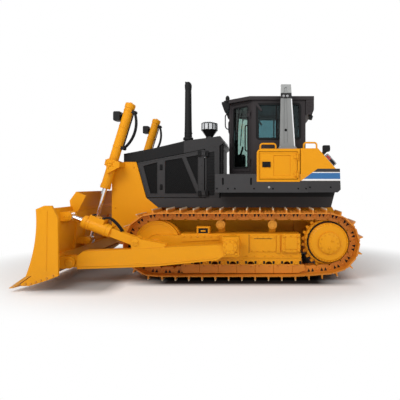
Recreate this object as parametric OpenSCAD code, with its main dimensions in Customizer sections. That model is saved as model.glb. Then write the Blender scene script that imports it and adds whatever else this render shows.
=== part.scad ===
// Crawler bulldozer with a semi-U blade on outside push arms, a ROPS cab and oval tracks.
// Millimetres. The blade points along -X, the machine's right side along +Y, and Z is up from the ground.

/* [Tracks] */
// Distance between the centre lines of the two tracks
track_gauge = 2134; // [2000:1:2300]
// Width of a track shoe
shoe_w = 560; // [500:1:660]
// Number of shoes in each track
shoe_count = 39; // [36:1:44]
// Height of the grouser bar above its shoe plate
grouser_h = 72; // [50:1:90]
// Thickness of the grouser bar at its tip
grouser_t = 18; // [12:1:30]
// Thickness of a shoe plate
plate_t = 20; // [14:1:30]
// Height of the chain from its inner rail to the shoe plate
link_h = 122; // [100:1:150]
// Width of one link rail of the chain
rail_w = 60; // [40:1:80]
// Clear gap between the two link rails
rail_gap = 96; // [80:1:120]
// Idler axle, distance ahead of the origin
idler_x = -790; // [-900:1:-700]
// Sprocket axle, distance behind the origin
sprocket_x = 2280; // [2200:1:2400]
// Sprocket axle, height above the ground
sprocket_z = 655; // [640:1:700]
// Radius of the idler's tread
idler_r = 405; // [380:1:430]
// Radius at which the chain's rail runs round the sprocket
sprocket_r = 380; // [360:1:400]
// Radius of a track roller's tread
roller_r = 112; // [90:1:120]
// Number of track rollers on each side
roller_count = 7; // [5:1:8]
// Radius of a carrier roller's tread
carrier_r = 84; // [70:1:100]
// Width of the track frame's beam
frame_w = 330; // [300:1:380]
// Height of the track frame's top face
frame_top = 810; // [780:1:860]

/* [Blade] */
// Width of the blade over its end plates
blade_w = 4060; // [3700:1:4300]
// Distance from the outer lug of a push arm to the bend of the wing
bend_margin = 11; // [5:1:60]
// How far the wing tips lead the straight middle
wing_sweep = 110; // [80:1:150]
// Height of the mouldboard's top edge above the ground
blade_top = 1300; // [1200:1:1380]
// Height of the spill guard over the middle
spill_h = 260; // [150:1:300]
// Thickness of the mouldboard plate
board_t = 30; // [20:1:45]
// Thickness of the cutting edge
edge_t = 40; // [30:1:55]
// Thickness of the blade's end plates
end_t = 40; // [30:1:60]

/* [Push arms and cylinders] */
// Height of the push arm's trunnion
trunnion_z = 640; // [600:1:680]
// Trunnion, distance behind the origin
trunnion_x = 555; // [450:1:650]
// Thickness of a push arm
arm_t = 190; // [150:1:220]
// Free space between the shoes and a push arm
arm_gap = 55; // [40:1:80]
// Radius of the lift cylinder's barrel
lift_barrel_r = 86; // [75:1:90]
// Length of the lift cylinder's barrel
lift_barrel_len = 1640; // [1500:1:1700]
// Radius of the lift cylinder's rod
lift_rod_r = 42; // [35:1:50]
// Distance from the hood's side to the axis of a lift cylinder
lift_gap = 95; // [95:1:140]
// Radius of the tilt cylinder's barrel
tilt_barrel_r = 105; // [90:1:120]
// Radius of the tilt cylinder's rod
tilt_rod_r = 48; // [40:1:60]

/* [Body] */
// Width of the hood and radiator guard
hood_w = 1510; // [1400:1:1600]
// Width over the fenders
fender_w = 2300; // [2200:1:2500]
// Width of the cab
cab_w = 1640; // [1500:1:1700]
// Thickness of the cab's walls
cab_wall = 55; // [40:1:70]
// Thickness of the window glass
glass_t = 8; // [6:1:12]
// Thickness of the bodywork plates
sheet_t = 40; // [30:1:50]
// Height of the tip of the exhaust stack
stack_top = 3865; // [3600:1:3950]
// Width over the outer faces of the roll-over posts
rops_w = 2080; // [2000:1:2200]

/* [Hidden] */
$fn = 48;
// Running gap of a shaft in its bearing
fit = 0.05;
// Gap between parts that lie close to each other
clear = 0.3;
// Gap round a door in its frame
door_gap = 8;
// Clearance of the rod eyes that a coupled linkage leaves free to drift
eye_drift = 27;
// Places of the joints in the side view, as [x, z]
arm_pivot = [trunnion_x, trunnion_z];
blade_pin = [-2155, 374];
lift_pin = [-2160, 650];
lift_pivot = [-1720, 2085];
tilt_foot = [-1040, 712];
tilt_head = [-2190, 1150];

track_y = track_gauge / 2;
lift_y = hood_w / 2 + lift_gap;
arm_in = track_y + shoe_w / 2 + arm_gap;
arm_y = arm_in + arm_t / 2;

// Chain geometry: the pins run half way up the links, and a link is a chord of each wheel
pin_h = link_h / 2;
pitch_about = (2 * (sprocket_x - idler_x) + PI * (idler_r + sprocket_r + link_h)) / shoe_count;
function chord_sag(r) = pitch_about * pitch_about / (8 * r);
idler_pitch_r = idler_r + pin_h + chord_sag(idler_r + pin_h);
sprocket_pitch_r = sprocket_r + pin_h + chord_sag(sprocket_r + pin_h);
shoe_face = link_h - pin_h + plate_t;
idler_z = idler_pitch_r + shoe_face + grouser_h;
rail_z = grouser_h + plate_t + link_h;
roller_z = rail_z + roller_r + clear;
roller_first_x = idler_x + idler_r + roller_r + 45;
roller_last_x = sprocket_x - sprocket_pitch_r - roller_r - 13;
roller_step = (roller_last_x - roller_first_x) / (roller_count - 1);

// The pin line is a belt round three discs, each [x, z, radius], taken anticlockwise
discs = [
    [sprocket_x, sprocket_z, sprocket_pitch_r],
    [idler_x, idler_z, idler_pitch_r],
    [roller_last_x, rail_z + roller_r, roller_r + pin_h]
];
function along(a) = [cos(a), sin(a)];
function centre(d) = [d[0], d[1]];
function outer_normal(a, b) =
    let (v = centre(b) - centre(a)) atan2(v.y, v.x) - acos((a[2] - b[2]) / norm(v));
top_a = outer_normal(discs[0], discs[1]) + 360;
low_a = outer_normal(discs[1], discs[2]) + 360;
rear_a = outer_normal(discs[2], discs[0]) + 360;
function touch(i, a) = centre(discs[i]) + discs[i][2] * along(a);
function arc_len(i, a, b) = discs[i][2] * (b - a) * PI / 180;
// Lengths of the top run, idler arc, bottom run, roller arc, rear run and sprocket arc
runs = [
    norm(touch(1, top_a) - touch(0, top_a)), arc_len(1, top_a, low_a),
    norm(touch(2, low_a) - touch(1, low_a)), arc_len(2, low_a, rear_a),
    norm(touch(0, rear_a) - touch(2, rear_a)), arc_len(0, rear_a, top_a + 360)
];
function upto(k) = k == 0 ? 0 : runs[k - 1] + upto(k - 1);
function line_at(i, j, a, s) =
    let (p = touch(i, a), q = touch(j, a)) p + (q - p) * s / norm(q - p);
function arc_at(i, a, s) = centre(discs[i]) + discs[i][2] * along(a + s / discs[i][2] * 180 / PI);
// Point of the pin line at a distance s from the top of the sprocket
function belt_at(s) =
    s < upto(1) ? line_at(0, 1, top_a, s) :
    s < upto(2) ? arc_at(1, top_a, s - upto(1)) :
    s < upto(3) ? line_at(1, 2, low_a, s - upto(2)) :
    s < upto(4) ? arc_at(2, low_a, s - upto(3)) :
    s < upto(5) ? line_at(2, 0, rear_a, s - upto(4)) :
    arc_at(0, rear_a, s - upto(5));
// Pins of the chain, and each link's direction, outward normal and the normal shared at its far pin
pins = [for (i = [0 : shoe_count - 1]) belt_at(i * upto(6) / shoe_count)];
function pin(i) = pins[i % shoe_count];
function ahead(i) = (pin(i + 1) - pin(i)) / norm(pin(i + 1) - pin(i));
function out(i) = [ahead(i).y, -ahead(i).x];
function out_mid(i) = (out(i) + out(i + 1)) / norm(out(i) + out(i + 1));
// Half the slot between two shoes, the grouser's place and foot on its shoe, and the lap of plate on link
shoe_slot = 4;
grouser_at = 40;
grouser_foot = 34;
lap = 3;

module both() {
    children();
    mirror([0, 1, 0]) children();
}
// A side-view outline in x and z, made a plate from y to y + t
module plate(y, t) {
    translate([0, y + t, 0]) rotate([90, 0, 0]) linear_extrude(t) children();
}
// A round bar along y, centred on a side-view point
module bar(at, y, len, r) {
    translate([at.x, y + len, at.y]) rotate([90, 0, 0]) cylinder(h = len, r = r);
}
// A block from one corner to the opposite one
module block(lo, hi) {
    translate(lo) cube(hi - lo);
}
// A straight member between two side-view points, as a stadium outline
module link_outline(a, b, r) {
    d = b - a;
    translate(a) circle(r);
    translate(b) circle(r);
    translate(a) rotate(atan2(d.y, d.x)) translate([0, -r]) square([norm(d), 2 * r]);
}
// Turns a shape built along +X so that it points from a to b in the side view
module aim(a, b) {
    d = b - a;
    translate([a.x, 0, a.y]) rotate([0, -atan2(d.y, d.x), 0]) children();
}

yellow = "#d8920f";
graphite = "#4a4a4d";
black = "#1c1c1e";
steel = "#b9bcc0";
dark_glass = "#3f5f66";

// Shoe plates with their grouser bars, as one ring in the side view
module shoe_ring() {
    outer = [for (i = [0 : shoe_count - 1])
        let (p = pin(i), q = pin(i + 1), t = ahead(i), n = out(i) * shoe_face)
        each [
            p + t * shoe_slot + n,
            p + t * grouser_at + n,
            p + t * (grouser_at + (grouser_foot - grouser_t) / 2) + n + out(i) * grouser_h,
            p + t * (grouser_at + (grouser_foot + grouser_t) / 2) + n + out(i) * grouser_h,
            p + t * (grouser_at + grouser_foot) + n,
            q - t * shoe_slot + n,
            q + out_mid(i) * (shoe_face - plate_t + lap)
        ]];
    inner = [for (i = [0 : shoe_count - 1]) pin(i + 1) + out_mid(i) * (shoe_face - plate_t)];
    ring(outer, inner);
}
// Link rails of the chain, as one ring in the side view
module link_ring() {
    inner = [for (i = [0 : shoe_count - 1])
        let (p = pin(i), q = pin(i + 1), t = ahead(i), n = out(i) * pin_h)
        each [p + t * grouser_foot - n, q - t * grouser_foot - n, q - out_mid(i) * pin_h * 0.55]];
    outer = [for (i = [0 : shoe_count - 1]) pin(i + 1) + out_mid(i) * (shoe_face - plate_t + lap / 2)];
    ring(outer, inner);
}
module ring(outer, inner) {
    no = len(outer);
    ni = len(inner);
    polygon(concat(outer, inner), [[for (i = [0 : no - 1]) i], [for (i = [0 : ni - 1]) no + i]]);
}
module track(side) {
    color(yellow) translate([0, side * track_y, 0]) {
        plate(-shoe_w / 2, shoe_w) shoe_ring();
        for (y = [-rail_gap / 2 - rail_w, rail_gap / 2]) plate(y, rail_w) link_ring();
    }
}

// Track frame: a box beam with an idler fork, roller guards, carrier posts and the push arm's trunnion
fork_in = 125;
guard_in = frame_w / 2 - 30;
beam_low = 460;
frame_front = idler_x + idler_r + 30;
frame_rear = sprocket_x - sprocket_pitch_r - 62;
pivot_at = [1610, 650];
pivot_r = 105;
trunnion_r = 85;
arm_cap = 31;
carrier_x = [349, 1283];
// The last roller stands higher, where the chain starts to rise to the sprocket
last_roller_up = 6;
carrier_z = min(idler_z + idler_pitch_r, sprocket_z + sprocket_pitch_r) - pin_h - carrier_r - clear;
carrier_half = rail_gap / 2 + rail_w - 6;

module track_frame() {
    fork_r = 150;
    difference() {
        union() {
            block([frame_front, -frame_w / 2, beam_low], [frame_rear, frame_w / 2, frame_top]);
            for (y = [-frame_w / 2, fork_in]) plate(y, frame_w / 2 - fork_in) {
                translate([idler_x, idler_z]) circle(fork_r);
                translate([idler_x, idler_z - fork_r]) square([frame_front - idler_x + 20, 2 * fork_r]);
            }
            for (y = [-frame_w / 2, guard_in]) plate(y, frame_w / 2 - guard_in) roller_guard();
            bar(arm_pivot, frame_w / 2 - 1, 60, 165);
            bar(arm_pivot, frame_w / 2 - 1, arm_in + arm_t + 6 - track_y - frame_w / 2 + 2, trunnion_r);
            bar(arm_pivot, arm_in + arm_t + 6 - track_y, arm_cap - 6, trunnion_r + 40);
            bar([idler_x, idler_z], frame_w / 2 - 1, 26, 85);
            // Guide bracket on the recoil housing
            block([-70, 40, frame_top - 1], [165, frame_w / 2, frame_top + 130]);
            for (x = carrier_x)
                block([x - 60, -frame_w / 2, frame_top - 1], [x + 60, -carrier_half - 8, carrier_z + 60]);
        }
        bar(pivot_at, -frame_w, 2 * frame_w, pivot_r + clear);
    }
}
// Roller guard: a plate with a scallop under every roller
module roller_guard() {
    low = roller_z - 66;
    difference() {
        polygon([[roller_first_x - 70, low], [roller_last_x + 75, low], [roller_last_x + 95, beam_low + 5],
            [roller_first_x - 60, beam_low + 5]]);
        for (i = [0 : roller_count - 2])
            translate([roller_first_x + (i + 0.5) * roller_step, low]) circle(60);
    }
}
module track_frames() {
    color(yellow) both() translate([0, track_y, 0]) track_frame();
}
module idlers() {
    color(graphite) both() translate([0, track_y, 0]) {
        bar([idler_x, idler_z], -rail_gap / 2 - rail_w, rail_gap + 2 * rail_w, idler_r);
        bar([idler_x, idler_z], -rail_gap / 2 + 6, rail_gap - 12, idler_r + 24);
        bar([idler_x, idler_z], -fork_in, 2 * fork_in, 120);
    }
}
module track_rollers() {
    color(graphite) both() translate([0, track_y, 0]) for (i = [0 : roller_count - 1]) {
        at = [roller_first_x + i * roller_step, roller_z + (i == roller_count - 1 ? last_roller_up : 0)];
        bar(at, -rail_gap / 2 - rail_w, rail_gap + 2 * rail_w, roller_r);
        bar(at, -guard_in, 2 * guard_in, 58);
    }
}
module carrier_rollers() {
    color(graphite) both() translate([0, track_y, 0]) for (x = carrier_x) {
        bar([x, carrier_z], -carrier_half, 2 * carrier_half, carrier_r);
        bar([x, carrier_z], -carrier_half - 8, carrier_half, 36);
    }
}
// Sprocket ring between the link rails, with the drive's domed hub in its middle
sprocket_teeth = 25;
sprocket_half = 30;
hub_r = 350;
module sprocket() {
    at = [sprocket_x, sprocket_z];
    plate(-sprocket_half, 2 * sprocket_half) translate(at) polygon([for (i = [0 : sprocket_teeth - 1])
        each [for (k = [[-0.32, -34], [-0.14, 14], [0.14, 14], [0.32, -34]])
            (sprocket_pitch_r + k[1]) * along((i + k[0]) * 360 / sprocket_teeth)]]);
    bar(at, sprocket_half - 1, 150, hub_r);
    translate([at.x, sprocket_half + 148, at.y]) rotate([-90, 0, 0])
        cylinder(h = 34, r1 = hub_r, r2 = hub_r - 46);
    bar(at, sprocket_half + 181, 30, 190);
}
module sprockets() {
    color(graphite) both() translate([0, track_y, 0]) sprocket();
}
case_half = 480;
module final_drives() {
    color(yellow) both() {
        bar([sprocket_x, sprocket_z], case_half, track_y - sprocket_half - case_half, 290);
        bar([sprocket_x, sprocket_z], track_y - sprocket_half - 90, 90, hub_r);
    }
}
frame_half = 420;
module pivot_shafts() {
    color(steel) both() {
        bar(pivot_at, frame_half, track_y + frame_w / 2 - frame_half + 2, pivot_r);
        block([pivot_at.x - 165, track_y + frame_w / 2, pivot_at.y - 165],
            [pivot_at.x + 165, track_y + frame_w / 2 + 40, pivot_at.y + 165]);
        for (x = [-1, 1], z = [-1, 1])
            bar(pivot_at + [x * 125, z * 125], track_y + frame_w / 2 + 39, 19, 22);
    }
}
bar_top = 700;
module equalizer_bar() {
    color(yellow) block([-75, -track_y + frame_w / 2, 560], [75, track_y - frame_w / 2, bar_top]);
}

// Main frame and rear case
deck_z = 1250;
case_x = 1730;
module main_frame() {
    color(yellow) difference() {
        plate(-frame_half, 2 * frame_half)
            polygon([[-890, 760], [-890, deck_z], [case_x, deck_z], [case_x, 520], [-500, 520]]);
        block([-120, -frame_half - 1, 500], [120, frame_half + 1, bar_top]);
    }
}
hitch_at = [2790, 560];
module rear_case() {
    color(yellow) difference() {
        union() {
            plate(-case_half, 2 * case_half)
                polygon([[case_x, 480], [case_x, deck_z], [2480, deck_z], [2600, 1050], [2600, 560],
                    [2520, 480]]);
            for (z = [480, 610]) block([2500, -110, z], [hitch_at.x + 75, 110, z + 60]);
        }
        translate([hitch_at.x, 0, 400]) cylinder(h = 400, r = 38);
    }
}

// Push arms outside the tracks
blade_pin_r = 50;
tilt_pin_r = 45;
head_pin_r = 40;
lift_pin_r = 30;
ear_gap = 64;
ear_t = 38;
lift_ear_gap = 60;
foot_ear_t = 25;
module ears(y, gap, t) {
    for (s = [y - gap - t, y + gap]) plate(s, t) children();
}
module push_arm() {
    foot_r = 92;
    difference() {
        union() {
            plate(arm_in, arm_t) polygon([[-2020, 262], [-1150, 290], [-660, 312], [340, 414], [425, 470],
                [705, 470], [705, 800], [425, 800], [425, 676], [340, 670], [-1150, 595], [-1920, 560],
                [-2020, 485]]);
            plate(arm_y - ear_gap + 6, 2 * ear_gap - 12) link_outline(blade_pin, [-1950, 385], 92);
            ears(arm_y, ear_gap, foot_ear_t) {
                translate(tilt_foot) circle(foot_r);
                polygon([tilt_foot + [-70, 60], tilt_foot + [-50, 78], tilt_foot + [505, -30],
                    tilt_foot + [490, -85], tilt_foot + [100, -140], tilt_foot + [-70, -130]]);
            }
            bar(tilt_foot, arm_y - ear_gap - foot_ear_t - 3, 2 * (ear_gap + foot_ear_t + 3), tilt_pin_r);
        }
        bar(arm_pivot, arm_in - 1, arm_t + 2, trunnion_r + fit);
        bar(blade_pin, arm_in, arm_t, blade_pin_r + fit);
    }
}
module push_arms() {
    color(yellow) both() push_arm();
}

// Blade: a curved mouldboard in the middle, two wings led forward, end plates, a spill guard and brackets
tip = [-2868, 65];
edge_top = [-2598, 255];
board_top = [-2442, blade_top];
board_sag = 60;
function board(u, back) =
    edge_top + (board_top - edge_top) * u + [board_sag * 4 * u * (1 - u) + back, 0];
board_steps = 12;
board_curve = [for (i = [0 : board_steps]) board(i / board_steps, 0)];
board_back = [for (i = [board_steps : -1 : 0]) board(i / board_steps, board_t)];
board_outline = concat(board_curve, board_back);
edge_run = edge_t * norm(edge_top - tip) / (edge_top.y - tip.y);
edge_end = edge_top - (edge_top - tip) * clear / (edge_top.y - tip.y);
edge_outline = [tip, edge_end, edge_end + [edge_run, 0], tip + [edge_run, 0]];
mid_half = arm_y + ear_gap + ear_t + bend_margin;
wing_w = blade_w / 2 - mid_half;
wing_a = atan(wing_sweep / wing_w);
function squeeze(pts) = [for (p = pts) [(p.x - tip.x) * cos(wing_a), p.y]];
// A blade outline swept over the middle and both wings, out to the given half width
// The middle and the wings overlap by twice the lap, or stay apart where it is negative
module sweep_wide(pts, half_w, wing_lap) {
    plate(-mid_half - wing_lap, 2 * (mid_half + wing_lap)) translate([wing_sweep, 0]) polygon(pts);
    both() intersection() {
        translate([tip.x + wing_sweep, mid_half, 0]) rotate([0, 0, wing_a])
            plate(-300, wing_w + 800) polygon(squeeze(pts));
        block([-3400, mid_half - wing_lap, 0], [-1500, half_w, 2000]);
    }
}
// Everything behind the middle of the mouldboard's thickness
module behind_board() {
    middle = [for (i = [0 : board_steps]) board(i / board_steps, board_t / 2)];
    translate([wing_sweep, 0]) polygon(concat(middle, [board_top + [40, 20], [-2140, board_top.y + 20],
        [-2140, 210], [edge_top.x + 160, 210], edge_top + [80, 0]]));
}
module blade_ears(at, y, gap, r) {
    ears(y, gap, ear_t) intersection() {
        link_outline(at, at - [500, 0], r);
        behind_board();
    }
    bar(at, y - gap - ear_t, 2 * (gap + ear_t), r / 2);
}
// Cross beams on the back, each [lower z, upper z, rear x, half length]
beams = [[330, 520, -2310, mid_half], [1040, 1210, -2265, arm_y - 2 * ear_gap]];
spill_half = 1190;
spill_lean = 102;
gusset_t = 25;
module blade() {
    end_outline = concat(board_curve, [[-2313, 1356], [-2196, 1356], [-2099, 1163], [-2093, 255],
        [-2274, 184], [-2546, 100], [-2670, 100], [-2680, 131], edge_top + [edge_run + 20, 0]]);
    color(yellow) {
        sweep_wide(board_outline, blade_w / 2 - end_t + 1, 1);
        both() plate(blade_w / 2 - end_t, end_t) polygon(end_outline);
        for (b = beams) plate(-b[3], 2 * b[3]) intersection() {
            translate([-2800, b[0]]) square([2800 + b[2], b[1] - b[0]]);
            behind_board();
        }
        // Spill guard, leaning back over the machine, and the plate that closes each of its ends
        plate(-spill_half, 2 * spill_half) translate([wing_sweep, 0])
            polygon([board(1, 0) - [0, 30], board(1, board_t) - [0, 30],
                board_top + [board_t + spill_lean, spill_h], board_top + [spill_lean, spill_h]]);
        both() plate(spill_half - 10, gusset_t) polygon([[-2318, 1180], [-2345, 1400],
            board_top + [spill_lean + wing_sweep, spill_h], [-2052, 1487], [-2200, 1206]]);
        both() {
            blade_ears(blade_pin, arm_y, ear_gap, 2 * blade_pin_r);
            blade_ears(tilt_head, arm_y, ear_gap, 2 * head_pin_r);
            blade_ears(lift_pin, lift_y, lift_ear_gap, 2 * lift_pin_r);
        }
    }
}
module cutting_edge() {
    color(steel) sweep_wide(edge_outline, blade_w / 2, -1);
}

// Lift cylinders, built along the line from the gimbal to the pin on the blade
lift_len = norm(lift_pin - lift_pivot);
lift_low = 480;
lift_high = lift_low - lift_barrel_len;
lift_pivot_r = 45;
collar_r = lift_barrel_r + 8;
collar_w = 70;
cheek_t = 55;
cheek_gap = collar_r + 1;
eye_wall = 27;
module on_lift() {
    aim(lift_pivot, lift_pin) translate([0, lift_y, 0]) rotate([0, 90, 0]) children();
}
module lift_barrel() {
    difference() {
        union() {
            on_lift() {
                translate([0, 0, lift_high]) cylinder(h = lift_barrel_len, r = lift_barrel_r);
                for (z = [lift_high, -collar_w / 2, lift_low - collar_w])
                    translate([0, 0, z]) cylinder(h = collar_w, r = collar_r);
            }
            bar(lift_pivot, lift_y - cheek_gap - cheek_t, 2 * (cheek_gap + cheek_t), lift_pivot_r);
        }
        on_lift() translate([0, 0, lift_high + 60]) cylinder(h = lift_barrel_len, r = lift_rod_r + fit);
    }
}
// Two bowed hoses on the back of a lift cylinder and the work lamp ahead of its top
pipe_r = 17;
pipe_pair = 26;
pipe_back = 116;
pipe_ends = [-1040, -330];
pipe_mid = (pipe_ends[0] + pipe_ends[1]) / 2;
pipe_bow = 110;
pipe_half = (pipe_ends[1] - pipe_ends[0]) / 2;
bow_r = (pipe_half * pipe_half + pipe_bow * pipe_bow) / (2 * pipe_bow);
bow_half = asin(pipe_half / bow_r);
bow_steps = 360;
module lift_fitting() {
    on_lift() {
        for (y = [-pipe_pair, pipe_pair]) translate([bow_r * cos(bow_half) - pipe_back, y, pipe_mid])
            rotate([90, 0, 0]) rotate([0, 0, 180 - bow_half])
                rotate_extrude(angle = 2 * bow_half, $fn = bow_steps)
                    translate([bow_r, 0]) circle(pipe_r, $fn = 48);
        for (z = pipe_ends) difference() {
            translate([-pipe_back - 26, -50, z - 30]) cube([70, 100, 60]);
            translate([0, 0, z - 31]) cylinder(h = 62, r = lift_barrel_r);
        }
    }
    difference() {
        union() {
            block([-1665, lift_y - 85, 2885], [-1560, lift_y + 85, 3055]);
            block([-1570, lift_y - 25, 2940], [-1480, lift_y + 25, 3000]);
        }
        on_lift() translate([0, 0, lift_high]) cylinder(h = lift_barrel_len, r = lift_barrel_r);
    }
}
module lift_rod() {
    on_lift() translate([0, 0, -200])
        cylinder(h = lift_len + 200 - lift_pin_r - eye_drift - 3, r = lift_rod_r);
    aim(lift_pivot, lift_pin) translate([0, lift_y, 0]) difference() {
        bar([lift_len, 0], -45, 90, lift_pin_r + eye_drift + eye_wall);
        bar([lift_len, 0], -46, 92, lift_pin_r + eye_drift);
    }
}
module lift_barrel_right() { color(yellow) lift_barrel(); }
module lift_barrel_left() { color(yellow) mirror([0, 1, 0]) lift_barrel(); }
module lift_fitting_right() { color(black) lift_fitting(); }
module lift_fitting_left() { color(black) mirror([0, 1, 0]) lift_fitting(); }
module lift_rod_right() { color(steel) lift_rod(); }
module lift_rod_left() { color(steel) mirror([0, 1, 0]) lift_rod(); }

// Tilt struts, built along the line from the arm's bracket to the blade's bracket
tilt_len = norm(tilt_head - tilt_foot);
tilt_half = ear_gap - 4;
strut_end = 500;
tilt_low = 960;
module tilt_barrel() {
    aim(tilt_foot, tilt_head) translate([0, arm_y, 0]) difference() {
        union() {
            bar([0, 0], -tilt_half, 2 * tilt_half, 80);
            block([0, -tilt_half, -72], [strut_end, tilt_half, 72]);
            translate([strut_end - 30, 0, 0]) rotate([0, 90, 0])
                cylinder(h = tilt_low - strut_end + 30, r = tilt_barrel_r);
            translate([tilt_low - 60, 0, 0]) rotate([0, 90, 0]) cylinder(h = 60, r = tilt_barrel_r + 8);
            // Valve box on top of the barrel
            block([620, -75, -160], [880, 75, 0]);
        }
        bar([0, 0], -ear_gap, 2 * ear_gap, tilt_pin_r + fit);
        translate([strut_end - 80, 0, 0]) rotate([0, 90, 0]) cylinder(h = 600, r = tilt_rod_r + fit);
    }
}
module tilt_rod() {
    aim(tilt_foot, tilt_head) translate([0, arm_y, 0]) difference() {
        union() {
            translate([strut_end + 10, 0, 0]) rotate([0, 90, 0])
                cylinder(h = tilt_len - strut_end - 60, r = tilt_rod_r);
            bar([tilt_len, 0], -tilt_half + 2, 2 * tilt_half - 4, 76);
        }
        bar([tilt_len, 0], -ear_gap, 2 * ear_gap, head_pin_r + 4);
    }
}
module tilt_barrel_right() { color(yellow) tilt_barrel(); }
module tilt_barrel_left() { color(yellow) mirror([0, 1, 0]) tilt_barrel(); }
module tilt_rod_right() { color(steel) tilt_rod(); }
module tilt_rod_left() { color(steel) mirror([0, 1, 0]) tilt_rod(); }

// Radiator guard: a box with a slotted front, open behind, and the bearings of the lift cylinders
half = hood_w / 2;
guard_outline = [[-1775, 760], [-1775, 1880], [-1560, 2120], [-1308, 2120], [-1122, 1440], [-890, deck_z],
    [-890, 760]];
guard_inside = [[-1735, 800], [-1735, 1864], [-1542, 2080], [-1258, 2080], [-1072, 1470], [-850, 1290],
    [-930, deck_z - 12], [-930, 800]];
bearing_r = 86;
core_gap = 65;
core_half = half - sheet_t - core_gap;
slot_in = 20;
slot_w = core_half - 70;
module radiator_guard() {
    color(yellow) difference() {
        union() {
            difference() {
                plate(-half, hood_w) polygon(guard_outline);
                plate(-half + sheet_t, hood_w - 2 * sheet_t) polygon(guard_inside);
                both() for (z = [890 : 82 : 1800])
                    block([-1780, slot_in, z], [-1730, slot_in + slot_w, z + 50]);
            }
            both() {
                ears(lift_y, cheek_gap, cheek_t) bearing_arm();
                block([-1585, half - 5, 2010], [-1535, lift_y + cheek_gap + cheek_t, 2100]);
            }
        }
        both() bar(lift_pivot, lift_y - cheek_gap - cheek_t - 1, 2 * (cheek_gap + cheek_t + 1),
            lift_pivot_r + fit);
    }
}
module bearing_arm() {
    translate(lift_pivot) circle(bearing_r);
    polygon([lift_pivot + [0, bearing_r], lift_pivot + [-60, -62], [-1770, 1885], [-1540, 2010],
        [-1535, 2100]]);
}
module radiator_core() {
    color(black) block([-1650, -core_half, 800], [-1450, core_half, 1930]);
}

// Hood: a top cover and a cowl behind the engine doors
hood_rear = 281;
hood_outline = [[-1545, 2120], [-1545, 2276], [-988, 2379], [-353, 2530], [185, 2601], [296, 2618],
    [360, 2483], [hood_rear, 2427], [-416, 2284], [-1240, 2120]];
hood_inside = [[-1505, 2100], [-1505, 2243], [-980, 2339], [-345, 2489], [190, 2560], [276, 2573],
    [308, 2502], [hood_rear - sheet_t, 2300], [-1330, 2000]];
stack_at = [-466, 0];
cleaner_at = [-17, 0];
stack_low = 2560;
cleaner_low = 2650;
sill_top = 1430;
module hood() {
    color(graphite) {
        difference() {
            union() {
                plate(-half, hood_w) polygon(hood_outline);
                translate([stack_at.x, stack_at.y, stack_low - 110]) cylinder(h = 110, r = 135);
                translate([cleaner_at.x, cleaner_at.y, cleaner_low - 110]) cylinder(h = 110, r = 120);
            }
            plate(-half + sheet_t, hood_w - 2 * sheet_t) polygon(hood_inside);
        }
        both() difference() {
            plate(half - sheet_t, sheet_t)
                polygon([[8, sill_top], [hood_rear, sill_top], [hood_rear, 2440], [8, 2380]]);
            plate(half - 14, 20) polygon([[35, 1480], [185, 1480], [185, 2320], [35, 2290]]);
        }
        both() for (z = door_hinges) knuckle_pin([0, half + 20], z);
        block([hood_rear - sheet_t, -half + 10, sill_top], [hood_rear, half - 10, 2585]);
    }
}
// Sills under the engine doors, skirts under the platform and the floor plate between them
skirt_front = 303;
skirt_rear = 2490;
skirt_foot = 2412;
skirt_half = 755;
sill_t = 55;
platform_low = 1838;
floor_t = 14;
module hood_sills() {
    color(black) {
        both() plate(half - sill_t, sill_t)
            polygon([[-886, deck_z], [-1104, sill_top], [skirt_front, sill_top], [skirt_front, deck_z]]);
        both() plate(skirt_half - sill_t, sill_t)
            polygon([[skirt_front, deck_z], [skirt_front, platform_low], [tank_x, platform_low],
                [tank_x, tank_low], [skirt_rear, tank_low], [skirt_foot, deck_z]]);
        block([-886, -half, deck_z], [skirt_front, half, deck_z + floor_t]);
        block([skirt_front, -skirt_half, deck_z], [skirt_foot, skirt_half, deck_z + floor_t]);
    }
}
module engine_block() {
    color(graphite) block([-880, -350, deck_z + floor_t], [200, 350, 1950]);
}

// A vertical hinge: the pin with two brackets on the fixed side, and a knuckle on the door
pin_r = 12;
knuckle_r = 19;
knuckle_h = 60;
door_hinges = [1516, 2276];
module knuckle_pin(at, z) {
    bracket_h = 28;
    reach = knuckle_h / 2 + 4;
    translate([at.x, at.y, z - reach - bracket_h]) cylinder(h = 2 * (reach + bracket_h), r = pin_r);
    for (k = [z - reach - bracket_h, z + reach]) translate([at.x, at.y, k]) {
        cylinder(h = bracket_h, r = 14);
        translate([0, -24, 0]) cube([30, 24, bracket_h]);
    }
}
module knuckle(at, z) {
    difference() {
        union() {
            translate([at.x, at.y, z - knuckle_h / 2]) cylinder(h = knuckle_h, r = knuckle_r);
            translate([at.x - 60, at.y - 26, z - knuckle_h / 2]) cube([60, 26, knuckle_h]);
        }
        translate([at.x, at.y, z - knuckle_h]) cylinder(h = 2 * knuckle_h, r = pin_r + fit);
    }
}
// Engine door with two sunk panels, the rear one crossed by a brace
panel_sink = 16;
module engine_door() {
    difference() {
        plate(half - sheet_t, sheet_t)
            polygon([[-1292, 2105], [-1108, sill_top + 10], [-8, sill_top + 10], [-8, 2357], [-416, 2273]]);
        plate(half - panel_sink, panel_sink + 4) {
            polygon([[-1193, 2055], [-892, 2135], [-892, 1500], [-1049, 1500]]);
            polygon([[-772, 2158], [-772, 1500], [-127, 1500], [-425, 2216]]);
            polygon([[-377, 2225], [-115, 1596], [-115, 2269]]);
        }
    }
    for (z = door_hinges) knuckle([0, half + 20], z);
}
module engine_door_right() { color(graphite) engine_door(); }
module engine_door_left() { color(graphite) mirror([0, 1, 0]) engine_door(); }

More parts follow.
